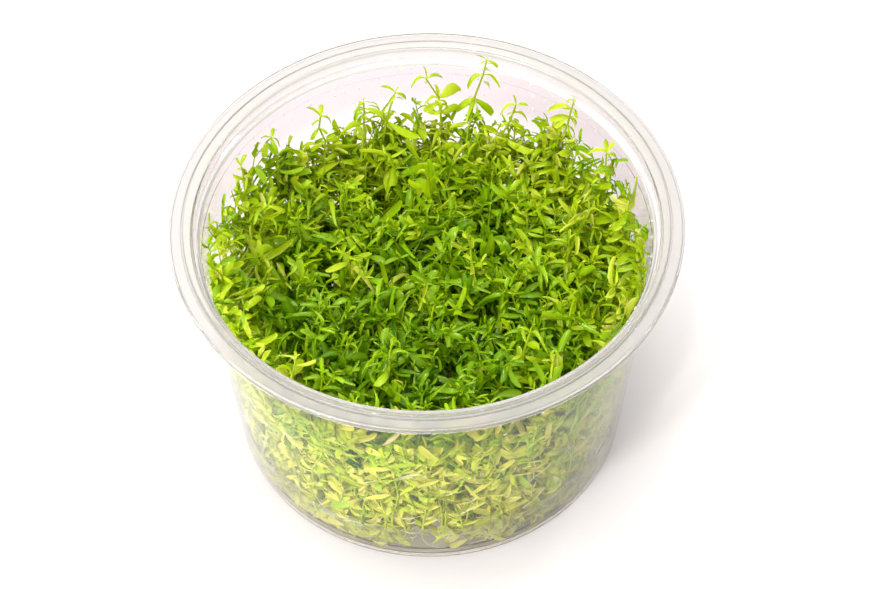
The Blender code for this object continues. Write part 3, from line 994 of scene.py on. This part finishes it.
def stem_path(foot, start, top, lean, dice, loose=0.9):
    """A thin stem that follows the flare of the cup, sways a little and leans at its tip."""
    sway = scatter(dice, loose)
    waves = dice.uniform(0.8, 2.0)
    path = []
    for i in range(STEM_STEPS + 1):
        share = i / STEM_STEPS
        height = start + (top - start) * share
        wide = wall_radius(height) / GEL_RADIUS
        flat = foot * wide + lean * share ** 2.5 + sway * math.sin(waves * math.tau * share)
        room = wall_radius(height) - WALL_ROOM
        if flat.length > room:
            flat *= room / flat.length
        path.append(Vector((flat.x, flat.y, height)))
    return path


# %% One plant for each cutting
cuttings = spiral(TUFTS, TUFT_SPREAD)
plants = [Plant() for _ in cuttings]
dice = random.Random(SEED)


def nearest_plant(foot):
    """The plant of the cutting that stands nearest to a foot."""
    return plants[min(range(TUFTS), key=lambda i: (cuttings[i] - foot).length)]


print("cuttings:", len(cuttings))

# %% [markdown]
# The first stems fill the cup in a finer spiral. The ones at the wall have leaves down to
# the gel, as the cup shows them. Those inside are bare below, where nobody can look, and
# their lowest pairs take the plain shape. Young shoots fill the gaps between the stems.
# The tint makes the mat yellower at the edge, as in the photograph. It is also raised at
# the back, painted light that makes the leaves there lighter and yellower, and inside the
# mat it falls with each pair down the stems, painted shade for the deep leaves.

# %% Stems all over the gel
STEMS = 520
AT_WALL = 0.80
LEAVES_TO_GEL = 60 * MM
LEAVES_INSIDE = 19 * MM
PLAIN_PAIR = 4

for foot in spiral(STEMS, TUFT_SPREAD):
    foot = foot + scatter(dice, 0.9)
    plant = nearest_plant(foot)
    edge = foot.length / GEL_RADIUS
    at_wall = edge > AT_WALL
    top = mat_top(foot) + dice.gauss(0.0, 2.6) * MM
    stray = 9.0 if dice.random() < 0.15 else 4.0
    lean = scatter(dice, stray)
    tint = 0.42 + 0.22 * max(0.0, edge - 0.6) / 0.4 + dice.gauss(0, 0.08)
    # Painted light: the tint rises towards the back, which makes the leaves there lighter and
    # yellower, as if lit through the rear wall.
    tint += 0.18 * foot.y / GEL_RADIUS - 0.03
    path = stem_path(foot, GEL_LEVEL - dice.uniform(1.0, 5.0) * MM, top, lean, dice)
    plant.add_stem(path, dice.uniform(0.24, 0.34) * MM, tint + 0.10)
    # Inside the mat the tint falls with each pair down the stem, painted shade that darkens
    # the deep leaves.
    nodes = leaf_pairs(plant, path, tint, dice, LEAVES_TO_GEL if at_wall else LEAVES_INSIDE,
                       age_and_depth_shade=0.02 if at_wall else -0.07,
                       plain_from=NO_PLAIN_PAIR if at_wall else PLAIN_PAIR)
    for place, up, angle, pair in nodes:
        if pair in (2, 3, 4, 5) and dice.random() < 0.20:
            side_shoot(plant, place, up, angle, tint, dice)
print("leaves in the spiral:", sum(sum(plant.values["is_leaf"]) for plant in plants))

# %% [markdown]
# Two more groups follow the photograph. Some stems at the back and on the right rise a
# few millimetres above the rest. Many thin stems stand right behind the clear wall, where
# their leaves lie flat against it and are old and pale in front. They start in the gel,
# but not in the middle of the front, where the gel is bare, and they climb highest at the
# left and right ends and at the back on the right.

# %% Stems at the back
REAR_STEMS = 45
REAR_LEAVES = 14 * MM
WALL_STEMS = 210
WALL_STEM_TOP = 55.0 * MM
FRONT = 1.5 * math.pi


def on_circle(angle):
    """The direction from the axis at an angle."""
    return Vector((math.cos(angle), math.sin(angle)))


for _ in range(REAR_STEMS):
    angle = math.radians(dice.choice((dice.uniform(15, 75), dice.uniform(15, 160))))
    foot = on_circle(angle) * GEL_RADIUS
    foot *= dice.uniform(0.72, 0.95)
    plant = nearest_plant(foot)
    top = mat_top(foot) + dice.uniform(0.0, 6.0) * MM
    lean = scatter(dice, 4.0)
    tint = 0.60 + dice.gauss(0, 0.08)
    path = stem_path(foot, GEL_LEVEL, top, lean, dice)
    plant.add_stem(path, dice.uniform(0.22, 0.30) * MM, tint + 0.10)
    leaf_pairs(plant, path, tint, dice, REAR_LEAVES)

# %% Stems at the wall
for i in range(WALL_STEMS):
    angle = (i + dice.uniform(-0.4, 0.4)) / WALL_STEMS * math.tau
    ahead = max(0.0, -math.sin(angle))
    at_end = math.cos(angle) ** 4
    rear_right = max(0.0, math.sin(angle)) * max(0.0, math.cos(angle))
    bare_front = math.exp(-((angle - FRONT) / 0.22) ** 2)
    start = (dice.uniform(1.2, 3.6) + 5.0 * bare_front) * MM
    foot = on_circle(angle) * (GEL_RADIUS - dice.uniform(1.0, 3.0) * MM)
    plant = nearest_plant(foot)
    top = mat_top(foot) + dice.gauss(-2.0, 4.0) * MM
    top = min(top + (7.0 * at_end + 6.0 * rear_right) * MM, WALL_STEM_TOP)
    lean = Vector((-math.sin(angle), math.cos(angle))) * dice.gauss(0, 12.0) * MM
    tint = 0.49 + 0.22 * ahead - 0.08 * at_end + dice.gauss(0, 0.09)
    path = stem_path(foot, start, top, lean, dice, loose=1.6)
    plant.add_stem(path, dice.uniform(0.16, 0.23) * MM, tint)
    leaf_pairs(plant, path, tint, dice, LEAVES_TO_GEL, age_and_depth_shade=0.03, vigour=0.78, pressed=0.5,
               crowding=0.72)
print("leaves in the mat:", sum(sum(plant.values["is_leaf"]) for plant in plants))

# %% Turn each tuft into one mesh
for i, plant in enumerate(plants):
    piece = plant.piece(f"leafy_tuft_{i + 1:02d}")
    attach(piece, "root")
    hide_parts(f"tuft_{i + 1:02d}")
print("last tuft:", len(piece.data.polygons), "faces")

# %% [markdown]
# ## The tall shoots
# Twenty-two shoots stand above the mat, and they give the plant its outline against the
# white wall. Each one's foot is read from its CAD node, and its tip is placed as in the
# photograph.

# %% Where each tip is
# The tips, in mm from the axis and the ground
SHOOT_TIPS = (
    (-21.0, 33.5, 56.5), (-12.5, 37.0, 54.0), (-5.5, 38.5, 55.5), (0.5, 40.5, 58.0),
    (13.4, 42.5, 59.5), (19.2, 37.0, 53.5), (30.9, 32.0, 59.0), (37.3, 21.0, 53.5),
    (40.5, 8.0, 49.0), (-31.0, 28.5, 54.5), (-37.0, 20.5, 52.5), (-42.3, 6.0, 51.5),
    (-32.0, 13.5, 50.0), (0.3, 22.0, 49.0), (33.5, 11.0, 49.5), (-7.0, -20.0, 47.5),
    (-26.0, -24.0, 47.5), (20.0, -18.0, 48.0), (8.0, 6.0, 48.0), (-16.0, 2.0, 48.0),
    (28.0, -9.0, 48.0), (-37.0, -8.0, 48.5),
)
print("shoots:", len(SHOOT_TIPS), "and the highest tip is at",
      max(tip[2] for tip in SHOOT_TIPS), "mm")


# %% [markdown]
# The thirteen shoots at the back and the sides are seen one by one, so their leaves are
# listed one by one instead of laid by chance. A leaf that is seen from in front and above
# is given by its reach to the right and upwards as seen. The same rise of the camera turns
# that into a direction in space, and a turn away from the camera shows it from its side.

# %% The shoots that the photograph shows leaf by leaf
# Each shoot is a list of nodes: how far right of the tip and below it, in mm, and its
# leaves: reach to the right and up as seen, turn away from the camera, and leaf kind
POSED = {
    1: ((-0.4, 2.6, ((0.3, 2.8, 10, 2), (-2.6, 2.5, 70, 0), (2.8, -0.5, 50, 1))),
        (-0.9, 6.0, ((-2.2, -2.6, 0, 2), (1.9, -1.2, 60, 0))),
        (0.2, 10.3, ((1.9, 1.7, 30, 0), (-3.3, -2.1, 20, 0), (3.2, 0.8, 20, 2)))),
    2: ((0.0, 0.0, ((0.0, 1.2, 30, 0), (1.1, 0.4, 60, 0), (-1.3, 0.3, 40, 1))),
        (0.0, 1.8, ((-2.4, 0.6, 80, 3), (4.2, -1.0, 60, 0), (-3.4, -1.8, 50, 1))),
        (0.1, 3.4, ((0.9, -2.4, 40, 1), (-1.9, -1.7, 20, 2), (2.6, 0.4, 30, 1)))),
    3: ((-0.3, 0.2, ((-2.9, 1.8, 60, 0), (2.8, -1.5, 30, 1), (0.5, 1.2, 70, 0),
                     (-1.1, -2.3, 40, 0))),
        (-1.9, 6.1, ((2.0, 0.4, 60, 1), (-1.6, -0.8, 60, 0)))),
    4: ((0.1, 0.9, ((-0.1, 2.7, 70, 0), (4.1, 1.3, 30, 5), (-3.8, 0.4, 85, 3))),
        (2.7, 6.9, ((5.2, 3.2, 10, 2), (-0.6, 3.0, 25, 0), (-3.6, 0.6, 80, 3))),
        (2.8, 8.4, ((2.4, -1.2, 20, 1), (-4.0, -1.2, 10, 2)))),
    5: ((-0.1, -0.8, ((-1.8, 1.5, 75, 0), (2.9, -1.0, 30, 2), (0.3, 1.0, 30, 0),
                      (-0.3, -1.3, 40, 2))),
        (-0.9, 3.7, ((-4.6, -0.9, 55, 3), (4.6, 0.6, 80, 3))),
        (-2.7, 10.5, ((-3.9, -1.7, 10, 2), (4.3, -3.9, 15, 2)))),
    6: ((0.0, 1.3, ((-0.4, 2.3, 50, 0), (2.5, 0.4, 70, 0), (-4.0, 0.2, 75, 3))),
        (-0.6, 3.6, ((4.2, -0.6, 55, 1), (-1.4, -0.3, 70, 0))),
        (-1.2, 6.2, ((2.4, 0.0, 60, 1), (-2.0, -1.2, 40, 0), (3.2, -2.4, 20, 2)))),
    7: ((0.0, 0.4, ((0.3, 1.7, 30, 0), (-1.7, 0.7, 50, 1), (1.3, 0.5, 60, 0))),
        (-0.5, 3.0, ((-5.0, 2.2, 40, 1), (-2.6, 1.4, 20, 2), (3.2, 0.4, 40, 1),
                     (1.6, -1.8, 40, 0))),
        (-0.9, 5.2, ((-4.4, 0.3, 20, 2), (-3.8, -1.6, 30, 2), (4.0, 0.4, 20, 2),
                     (2.9, -1.6, 40, 1))),
        (-1.1, 7.8, ((2.8, -2.4, 20, 1), (-2.4, 0.8, 40, 2), (0.6, -2.8, 50, 0),
                     (-3.2, -0.9, 20, 1))),
        (-2.1, 11.0, ((2.6, -0.6, 20, 2), (-2.9, 0.8, 30, 1), (-1.4, -2.2, 40, 2)))),
    8: ((-0.4, -1.0, ((0.2, 3.3, 10, 2), (3.1, 3.8, 75, 0), (-3.4, 2.2, 70, 3),
                      (4.9, -1.7, 40, 1))),
        (-0.4, 3.4, ((4.8, -0.8, 30, 2), (4.9, 1.0, 50, 4), (-3.0, -0.5, 30, 1))),
        (-0.2, 7.4, ((3.4, -2.0, 20, 2), (-3.0, 0.6, 40, 1)))),
    9: ((-1.6, -1.0, ((3.6, 0.0, 10, 2), (3.2, 2.0, 80, 3), (-0.4, 2.0, 40, 0))),
        (-1.2, 2.6, ((4.6, 1.8, 20, 2), (-2.8, 0.8, 40, 1)))),
    10: ((-0.5, 1.2, ((0.6, 2.2, 5, 2), (-2.5, 0.5, 60, 0), (0.6, -3.8, 10, 2),
                      (2.5, -1.2, 80, 3))),
         (-1.6, 2.4, ((-1.0, -3.5, 10, 2), (1.6, -2.6, 50, 0))),
         (0.4, 7.2, ((2.6, 2.4, 60, 1), (4.4, 3.2, 65, 4), (-3.0, -2.0, 40, 0)))),
    11: ((-0.4, -1.2, ((-1.6, 2.3, 25, 0), (0.6, 2.6, 45, 0))),
         (-0.2, 1.6, ((2.4, -0.6, 30, 1), (-2.0, -1.6, 30, 0)))),
    12: ((-1.2, -1.4, ((-0.2, 2.9, 20, 2), (2.2, 0.9, 40, 1), (-1.2, 0.6, 40, 0))),
         (-0.4, 1.6, ((3.2, 1.4, 30, 1), (2.6, -1.6, 20, 2)))),
    13: ((0.0, 0.8, ((-2.8, 1.5, 40, 1), (3.4, -0.8, 40, 0), (0.4, 2.2, 30, 0))),),
}
CAMERA_RISE = math.radians(50.2)
SEEN_UP = Vector((0, math.sin(CAMERA_RISE), math.cos(CAMERA_RISE)))
SEEN_BACK = Vector((0, -math.cos(CAMERA_RISE), math.sin(CAMERA_RISE)))
POSED_LENGTH = 1.08
POSED_TURN = 0.7


def posed_leaf(plant, place, row, tint, dice):
    """A leaf laid as the photograph shows it."""
    right, rise, turn, kind = row
    kind = ARCHED if kind > BROAD else kind
    along = Vector((right, 0, 0)) + SEEN_UP * rise
    side = SEEN_UP * abs(right) - Vector((math.copysign(rise, right), 0, 0))
    turn = math.radians(POSED_TURN * turn)
    face = SEEN_BACK * math.cos(turn) + side.normalized() * math.sin(turn)
    plant.add_leaf(place, along, face, along.length * MM * POSED_LENGTH,
                   dice.uniform(1.05, 1.35), tint + dice.gauss(0, 0.06), kind)


print("shoots laid by hand:", len(POSED))

# %% [markdown]
# A shoot runs from its foot up through the mat and then through its nodes to the tip.
# Two small leaves are put in below each node, since the real nodes stand closer than the
# photograph shows, and the part inside the mat gets its leaves as the other stems do.

# %% Read a shoot's foot
BETWEEN = 2
SHOOT_THICK = 0.34 * MM
SHOOT_LEAVES = 26 * MM
LOWER_PAIR = 4


def cad_foot(name):
    """The middle of the lowest points of a CAD node."""
    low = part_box(name)[0].z + 0.05 * MM
    lowest = [vert.co for vert in frame["nodes"][name].data.vertices if vert.co.z < low]
    return sum(lowest, Vector()) / len(lowest)


# %% The way of a shoot
def shoot_path(foot, tip, nodes, dice):
    """Up through the mat, then through the places of the nodes to the tip."""
    flat = Vector((foot.x, foot.y))
    free = min(mat_top(flat), nodes[0].z - 2.5 * MM if nodes else tip.z)
    wide = wall_radius(free) / wall_radius(foot.z)
    knee = Vector((flat.x * wide, flat.y * wide, free))
    path = [foot - Vector((0, 0, 3 * MM)), foot.lerp(knee, 0.5), knee]
    if nodes:
        return path + nodes
    for share in (0.3, 0.6, 1.0):
        place = knee.lerp(tip, share)
        bulge = 1.2 * MM * math.sin(math.pi * share)
        place += Vector((dice.uniform(-0.3, 0.3) * MM, dice.uniform(-0.3, 0.3) * MM, bulge))
        path.append(place)
    path[-1] = tip
    return path


# %% Plant the shoots
for i, tip in enumerate(SHOOT_TIPS):
    plant = Plant()
    name = f"tall_shoot_{i + 1:02d}"
    tip = Vector(tip) * MM
    tint = 0.58 + dice.gauss(0, 0.06)
    posed = POSED.get(i + 1, ())
    places = [tip + Vector((right, 0, -below)) * MM for right, below, _ in posed]
    path = shoot_path(cad_foot(name), tip, places[::-1], dice)
    plant.add_stem(path, SHOOT_THICK, tint + 0.1)
    for place, (_, _, rows) in zip(places, posed):
        for row in rows:
            posed_leaf(plant, place, row, tint, dice)
        for _ in range(BETWEEN):
            spot = place - Vector((0, 0, dice.uniform(0.2, 2.2) * MM))
            aim = (dice.uniform(-2.6, 2.6), dice.uniform(-1.4, 1.6), dice.uniform(20, 80),
                   ARCHED)
            posed_leaf(plant, spot, aim, tint, dice)
    bare_tip = tip.z - places[-1].z + 2.5 * MM if places else 0.2 * MM
    nodes = leaf_pairs(plant, path, tint, dice, SHOOT_LEAVES,
                       first=LOWER_PAIR if places else 0, below=bare_tip)
    for place, up, angle, pair in nodes:
        if pair in (4, 5, 6) and dice.random() < 0.35:
            side_shoot(plant, place, up, angle, tint, dice)
    piece = plant.piece(f"leafy_shoot_{i + 1:02d}")
    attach(piece, "root")
    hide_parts(name)
print("last shoot:", len(piece.data.polygons), "faces")

# %% [markdown]
# ## Roots
# White roots wander down through the gel, and shorter ones lie against the cup's wall
# among the leaves. Each is a walk of short steps that stays inside the cup, and a second
# small tree makes them round.

# %% The tree for threads
def thread_tree():
    """The tree that turns bare edges into white threads."""
    tree, given, out = new_tree("round threads", [
        ("Thread sides", "Int"), ("Thread radius", "Float"), ("Thread finish", "Material")])
    tubes = tubes_along(tree, given["Geometry"], given["Thread sides"],
                        given["Thread radius"])
    end_smooth(tree, finish_set(tree, tubes, given["Thread finish"]), out)
    return tree


# %% Grow roots
ROOTS = 150
WALL_ROOTS = 170
THREAD_SIDES = 3
THREAD_RADIUS = 0.075 * MM
ROOT_STEP = 1.3 * MM
ROOT_FLOOR = 2.2 * MM


def root_walk(dice):
    """A thread that starts at the gel's surface and wanders, mostly down and outwards."""
    angle = dice.uniform(0, math.tau)
    radius = wall_radius(GEL_LEVEL) * math.sqrt(dice.uniform(0.35, 0.98))
    place = Vector((radius * math.cos(angle), radius * math.sin(angle), GEL_LEVEL))
    heading = Vector((dice.gauss(0, 1), dice.gauss(0, 1), -dice.uniform(0.3, 1.2)))
    path = [place]
    for _ in range(dice.randint(7, 18)):
        turn = Vector((dice.gauss(0, 0.5), dice.gauss(0, 0.5), dice.gauss(0, 0.25)))
        heading = (heading.normalized() + turn).normalized()
        place = path[-1] + heading * ROOT_STEP
        place.z = min(max(place.z, ROOT_FLOOR), GEL_LEVEL - 0.5 * MM)
        limit = wall_radius(place.z) - 0.5 * MM - max(0.0, 4 * MM - place.z)
        if place.xy.length > limit:
            place.xy *= limit / place.xy.length
        path.append(place)
    return path


def wall_root_walk(dice):
    """A short thread that lies against the wall, above the gel or in its upper part."""
    angle = dice.uniform(0, math.tau)
    height = (7.0 + 28.0 * dice.random() ** 1.5) * MM
    depth = dice.uniform(0.25, 0.9) * MM
    heading = dice.uniform(0, math.tau)
    path = []
    for _ in range(dice.randint(3, 6)):
        radius = wall_radius(height) - depth
        path.append(Vector((radius * math.cos(angle), radius * math.sin(angle), height)))
        heading += dice.gauss(0, 0.5)
        angle += ROOT_STEP * math.cos(heading) / radius
        height = max(height + ROOT_STEP * math.sin(heading), 5.0 * MM)
    return path


# %% Join the roots
root_points = []
root_edges = []
for i in range(ROOTS + WALL_ROOTS):
    start = len(root_points)
    root_points += root_walk(dice) if i < ROOTS else wall_root_walk(dice)
    root_edges += [(k, k + 1) for k in range(start, len(root_points) - 1)]
root_mesh = bpy.data.meshes.new("roots")
root_mesh.from_pydata(root_points, root_edges, [])
roots = through_tree(new_piece("roots", root_mesh), thread_tree(), {
    "Thread sides": THREAD_SIDES, "Thread radius": THREAD_RADIUS,
    "Thread finish": white_root})
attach(roots, "root")
print("roots:", ROOTS + WALL_ROOTS, "with", len(roots.data.polygons), "faces")

# %% [markdown]
# ## Condensation
# The air in the cup is damp, so small drops hang on the wall above the leaves. A quarter
# of them sit under the fine ridge on the wall and a quarter on the ledge, which is why
# both show as dotted lines. A few patches of larger drops follow the photograph, at the
# front under the rim. Each drop is one squashed ball, instanced on a point that carries
# its turn and its size.

# %% The tree for drops
def drop_tree():
    """The tree that puts a ball on each point."""
    tree, given, out = new_tree("hang drops", [
        ("Drop sides", "Int"), ("Drop rings", "Int"), ("Drop finish", "Material")])
    ball = add_node(tree, "GeometryNodeMeshUVSphere", {
        "Segments": given["Drop sides"], "Rings": given["Drop rings"], "Radius": 1.0})
    drops = copies_on(tree, given["Geometry"], {"Instance": ball.outputs["Mesh"]})
    end_smooth(tree, finish_set(tree, drops, given["Drop finish"]), out)
    return tree


# %% Numbers for the drops
DROPS = 700
FRONT_DROPS = 220
DROP_SIDES = 6
DROP_RINGS = 4
DROP_RADIUS = 0.15 * MM
DROP_BAND = (46.0 * MM, 56.8 * MM)
DROP_GAP = 0.03 * MM
SMALL_DROP = 0.7
# The middles of the front patches: degrees round the axis, and height in mm
FRONT_PATCHES = ((-101.5, 55.0), (-95.0, 55.6), (-78.5, 55.2), (-72.0, 56.0), (-112.0, 56.0))
drop_points = []
drop_turns = []
drop_sizes = []


# %% Hang the drops
def hang_drop(angle, radius, height, thick, round_part, dice):
    """A drop on the wall: where it is, its thickness and its size along the wall."""
    drop_points.append((radius * math.cos(angle), radius * math.sin(angle), height))
    drop_turns.extend((0.0, 0.0, angle))
    drop_sizes.extend((thick, round_part, round_part * dice.uniform(0.9, 1.3)))


for i in range(DROPS):
    under_ridge, on_ledge = i % 4 == 0, i % 4 == 2
    angle = dice.uniform(0, math.tau)
    round_part = DROP_RADIUS * min(0.6 + dice.expovariate(1.9), 1.9)
    thick = 0.55 * round_part
    height = DROP_BAND[1] - (DROP_BAND[1] - DROP_BAND[0]) * dice.random() ** 1.8
    if under_ridge or on_ledge:
        round_part *= SMALL_DROP
        thick *= SMALL_DROP
    if under_ridge:
        height = RIDGE_HEIGHT - 2 * RIDGE_SIZE - 0.9 * round_part
    radius = wall_radius(height) - thick - DROP_GAP
    if on_ledge:
        height = LEDGE_HEIGHT + 0.8 * round_part
        radius = NECK_RADIUS - thick - 2 * DROP_GAP
    hang_drop(angle, radius, height, thick, round_part, dice)
for _ in range(FRONT_DROPS):
    around, height = dice.choice(FRONT_PATCHES)
    angle = math.radians(around + dice.gauss(0, 3.0))
    round_part = DROP_RADIUS * (0.8 + dice.expovariate(1.2))
    thick = 0.6 * round_part
    height = min(height * MM + dice.gauss(0, 0.9) * MM, DROP_BAND[1] - round_part)
    hang_drop(angle, wall_radius(height) - thick - DROP_GAP, height, thick, round_part, dice)
drop_mesh = bpy.data.meshes.new("condensation")
drop_mesh.from_pydata(drop_points, [], [])
add_vectors(drop_mesh, "turn", drop_turns)
add_vectors(drop_mesh, "size", drop_sizes)
condensation = through_tree(new_piece("condensation", drop_mesh), drop_tree(), {
    "Drop sides": DROP_SIDES, "Drop rings": DROP_RINGS, "Drop finish": water_drop})
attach(condensation, "root")
print("drops:", len(drop_points), "with", len(condensation.data.polygons), "faces")

# %% [markdown]
# ## Clean up, floor, light and camera
# The leaf shapes have done their work and go. The floor is a plain white ground, a hair
# under the cup.

# %% Remove the helpers and lay the floor
for shape in list(leaf_shapes.objects):
    bpy.data.objects.remove(shape)
bpy.data.collections.remove(leaf_shapes)

FLOOR_SIZE = 3.0
FLOOR_GAP = 0.05 * MM
FLOOR_WHITE = (0.83, 0.795, 0.785, 1.0)
bpy.ops.mesh.primitive_plane_add(size=FLOOR_SIZE, location=(0, 0, -FLOOR_GAP))
floor = bpy.context.object
floor.name = "white_ground"
floor_material, floor_output = new_material("white ground")
floor_tree = floor_material.node_tree
paper = add_node(floor_tree, "ShaderNodeBsdfPrincipled", {
    "Base Color": FLOOR_WHITE, "Roughness": 0.9})
floor_tree.links.new(paper.outputs["BSDF"], floor_output.inputs["Surface"])
floor.data.materials.append(floor_material)
print("floor:", floor.name)

# %% [markdown]
# The light is a white studio. An even white sky is darker near the ground, most of all on
# the right, which gives clear plastic its grey edges. A softbox above lights the leaves,
# a wide lamp on the left of the front throws the pale shadow to the right, and the small
# lamps give the wet leaves their sharp white glints.

# %% Light
SKY_STRENGTH = 0.92
DARKER_RIGHT = -0.12
world = bpy.data.worlds.new("studio")
bpy.context.scene.world = world
world.use_nodes = True
sky = world.node_tree.nodes["Background"]
sky.inputs["Strength"].default_value = SKY_STRENGTH
heading = add_node(world.node_tree, "ShaderNodeTexCoord").outputs["Generated"]
heading = add_node(world.node_tree, "ShaderNodeSeparateXYZ", {"Vector": heading}).outputs
rise = maths(world.node_tree, "MULTIPLY_ADD", heading["X"], DARKER_RIGHT, heading["Z"])
dome = colour_ramp(world.node_tree, rise, [
    (0.0, (0.55, 0.54, 0.52)), (0.08, (0.70, 0.69, 0.67)), (0.22, (0.96, 0.95, 0.94)),
    (0.45, (1.0, 1.0, 1.0)), (1.0, (1.0, 1.0, 1.0))])
world.node_tree.links.new(dome, sky.inputs["Color"])


def soft_lamp(name, place, aim, size, power):
    """A square area lamp that faces a point."""
    lamp = bpy.data.lights.new(name, "AREA")
    lamp.size = size
    lamp.energy = power
    holder = bpy.data.objects.new(name, lamp)
    holder.location = place
    holder.rotation_euler = (Vector(aim) - Vector(place)).to_track_quat("-Z", "Y").to_euler()
    bpy.context.scene.collection.objects.link(holder)
    return holder


# %% Hang the lamps
# Name, place and aim in metres, size, and power in watts
LAMPS = (
    ("top softbox", (-0.10, 0.08, 0.95), (0.0, 0.0, 0.03), 0.36, 3.4),
    ("left softbox", (-0.45, 0.15, 0.70), (0.0, 0.0, 0.03), 0.26, 0.7),
    ("front fill", (-0.75, -0.75, 0.30), (0.0, -0.02, 0.03), 0.50, 6.0),
    ("small high lamp", (-0.22, -0.42, 0.85), (0.0, 0.0, 0.04), 0.06, 1.6),
    ("small side lamp", (0.35, 0.35, 0.80), (0.0, 0.0, 0.04), 0.06, 0.8),
    ("small front lamp", (-0.60, -0.65, 0.50), (0.0, -0.03, 0.03), 0.05, 1.2),
)
for lamp in LAMPS:
    soft_lamp(*lamp)
bpy.context.scene.view_settings.view_transform = "Standard"
print("lamps:", len(bpy.data.lights))

# %% [markdown]
# The camera stands in front of the cup and looks down on it at about fifty degrees. Its
# place and its long lens were found from the ellipses of the rim and the foot, and a
# small roll and pan put the cup where it is in the photograph.

# %% Camera
CAMERA_REACH = 450.0 * MM
CAMERA_PAN = math.radians(0.29)
CAMERA_TILT = math.radians(-1.94)
CAMERA_ROLL = math.radians(-1.0)
LENS = 94.1

eye = SEEN_BACK * CAMERA_REACH + Vector((0, 0, CUP_HEIGHT))
right = Vector((1, 0, 0))
up = right.cross(-SEEN_BACK)
forward = (-SEEN_BACK + math.tan(CAMERA_PAN) * right + math.tan(CAMERA_TILT) * up).normalized()
right = forward.cross(Vector((0, 0, 1))).normalized()
up = right.cross(forward)
rolled_right = math.cos(CAMERA_ROLL) * right + math.sin(CAMERA_ROLL) * up
rolled_up = -math.sin(CAMERA_ROLL) * right + math.cos(CAMERA_ROLL) * up

camera_data = bpy.data.cameras.new("camera")
camera_data.lens = LENS
camera_data.sensor_width = 36.0
camera = bpy.data.objects.new("camera", camera_data)
turn = Matrix((rolled_right, rolled_up, -forward)).transposed().to_4x4()
camera.matrix_world = Matrix.Translation(eye) @ turn
bpy.context.scene.collection.objects.link(camera)
bpy.context.scene.camera = camera
print("camera at", [round(x, 3) for x in eye])
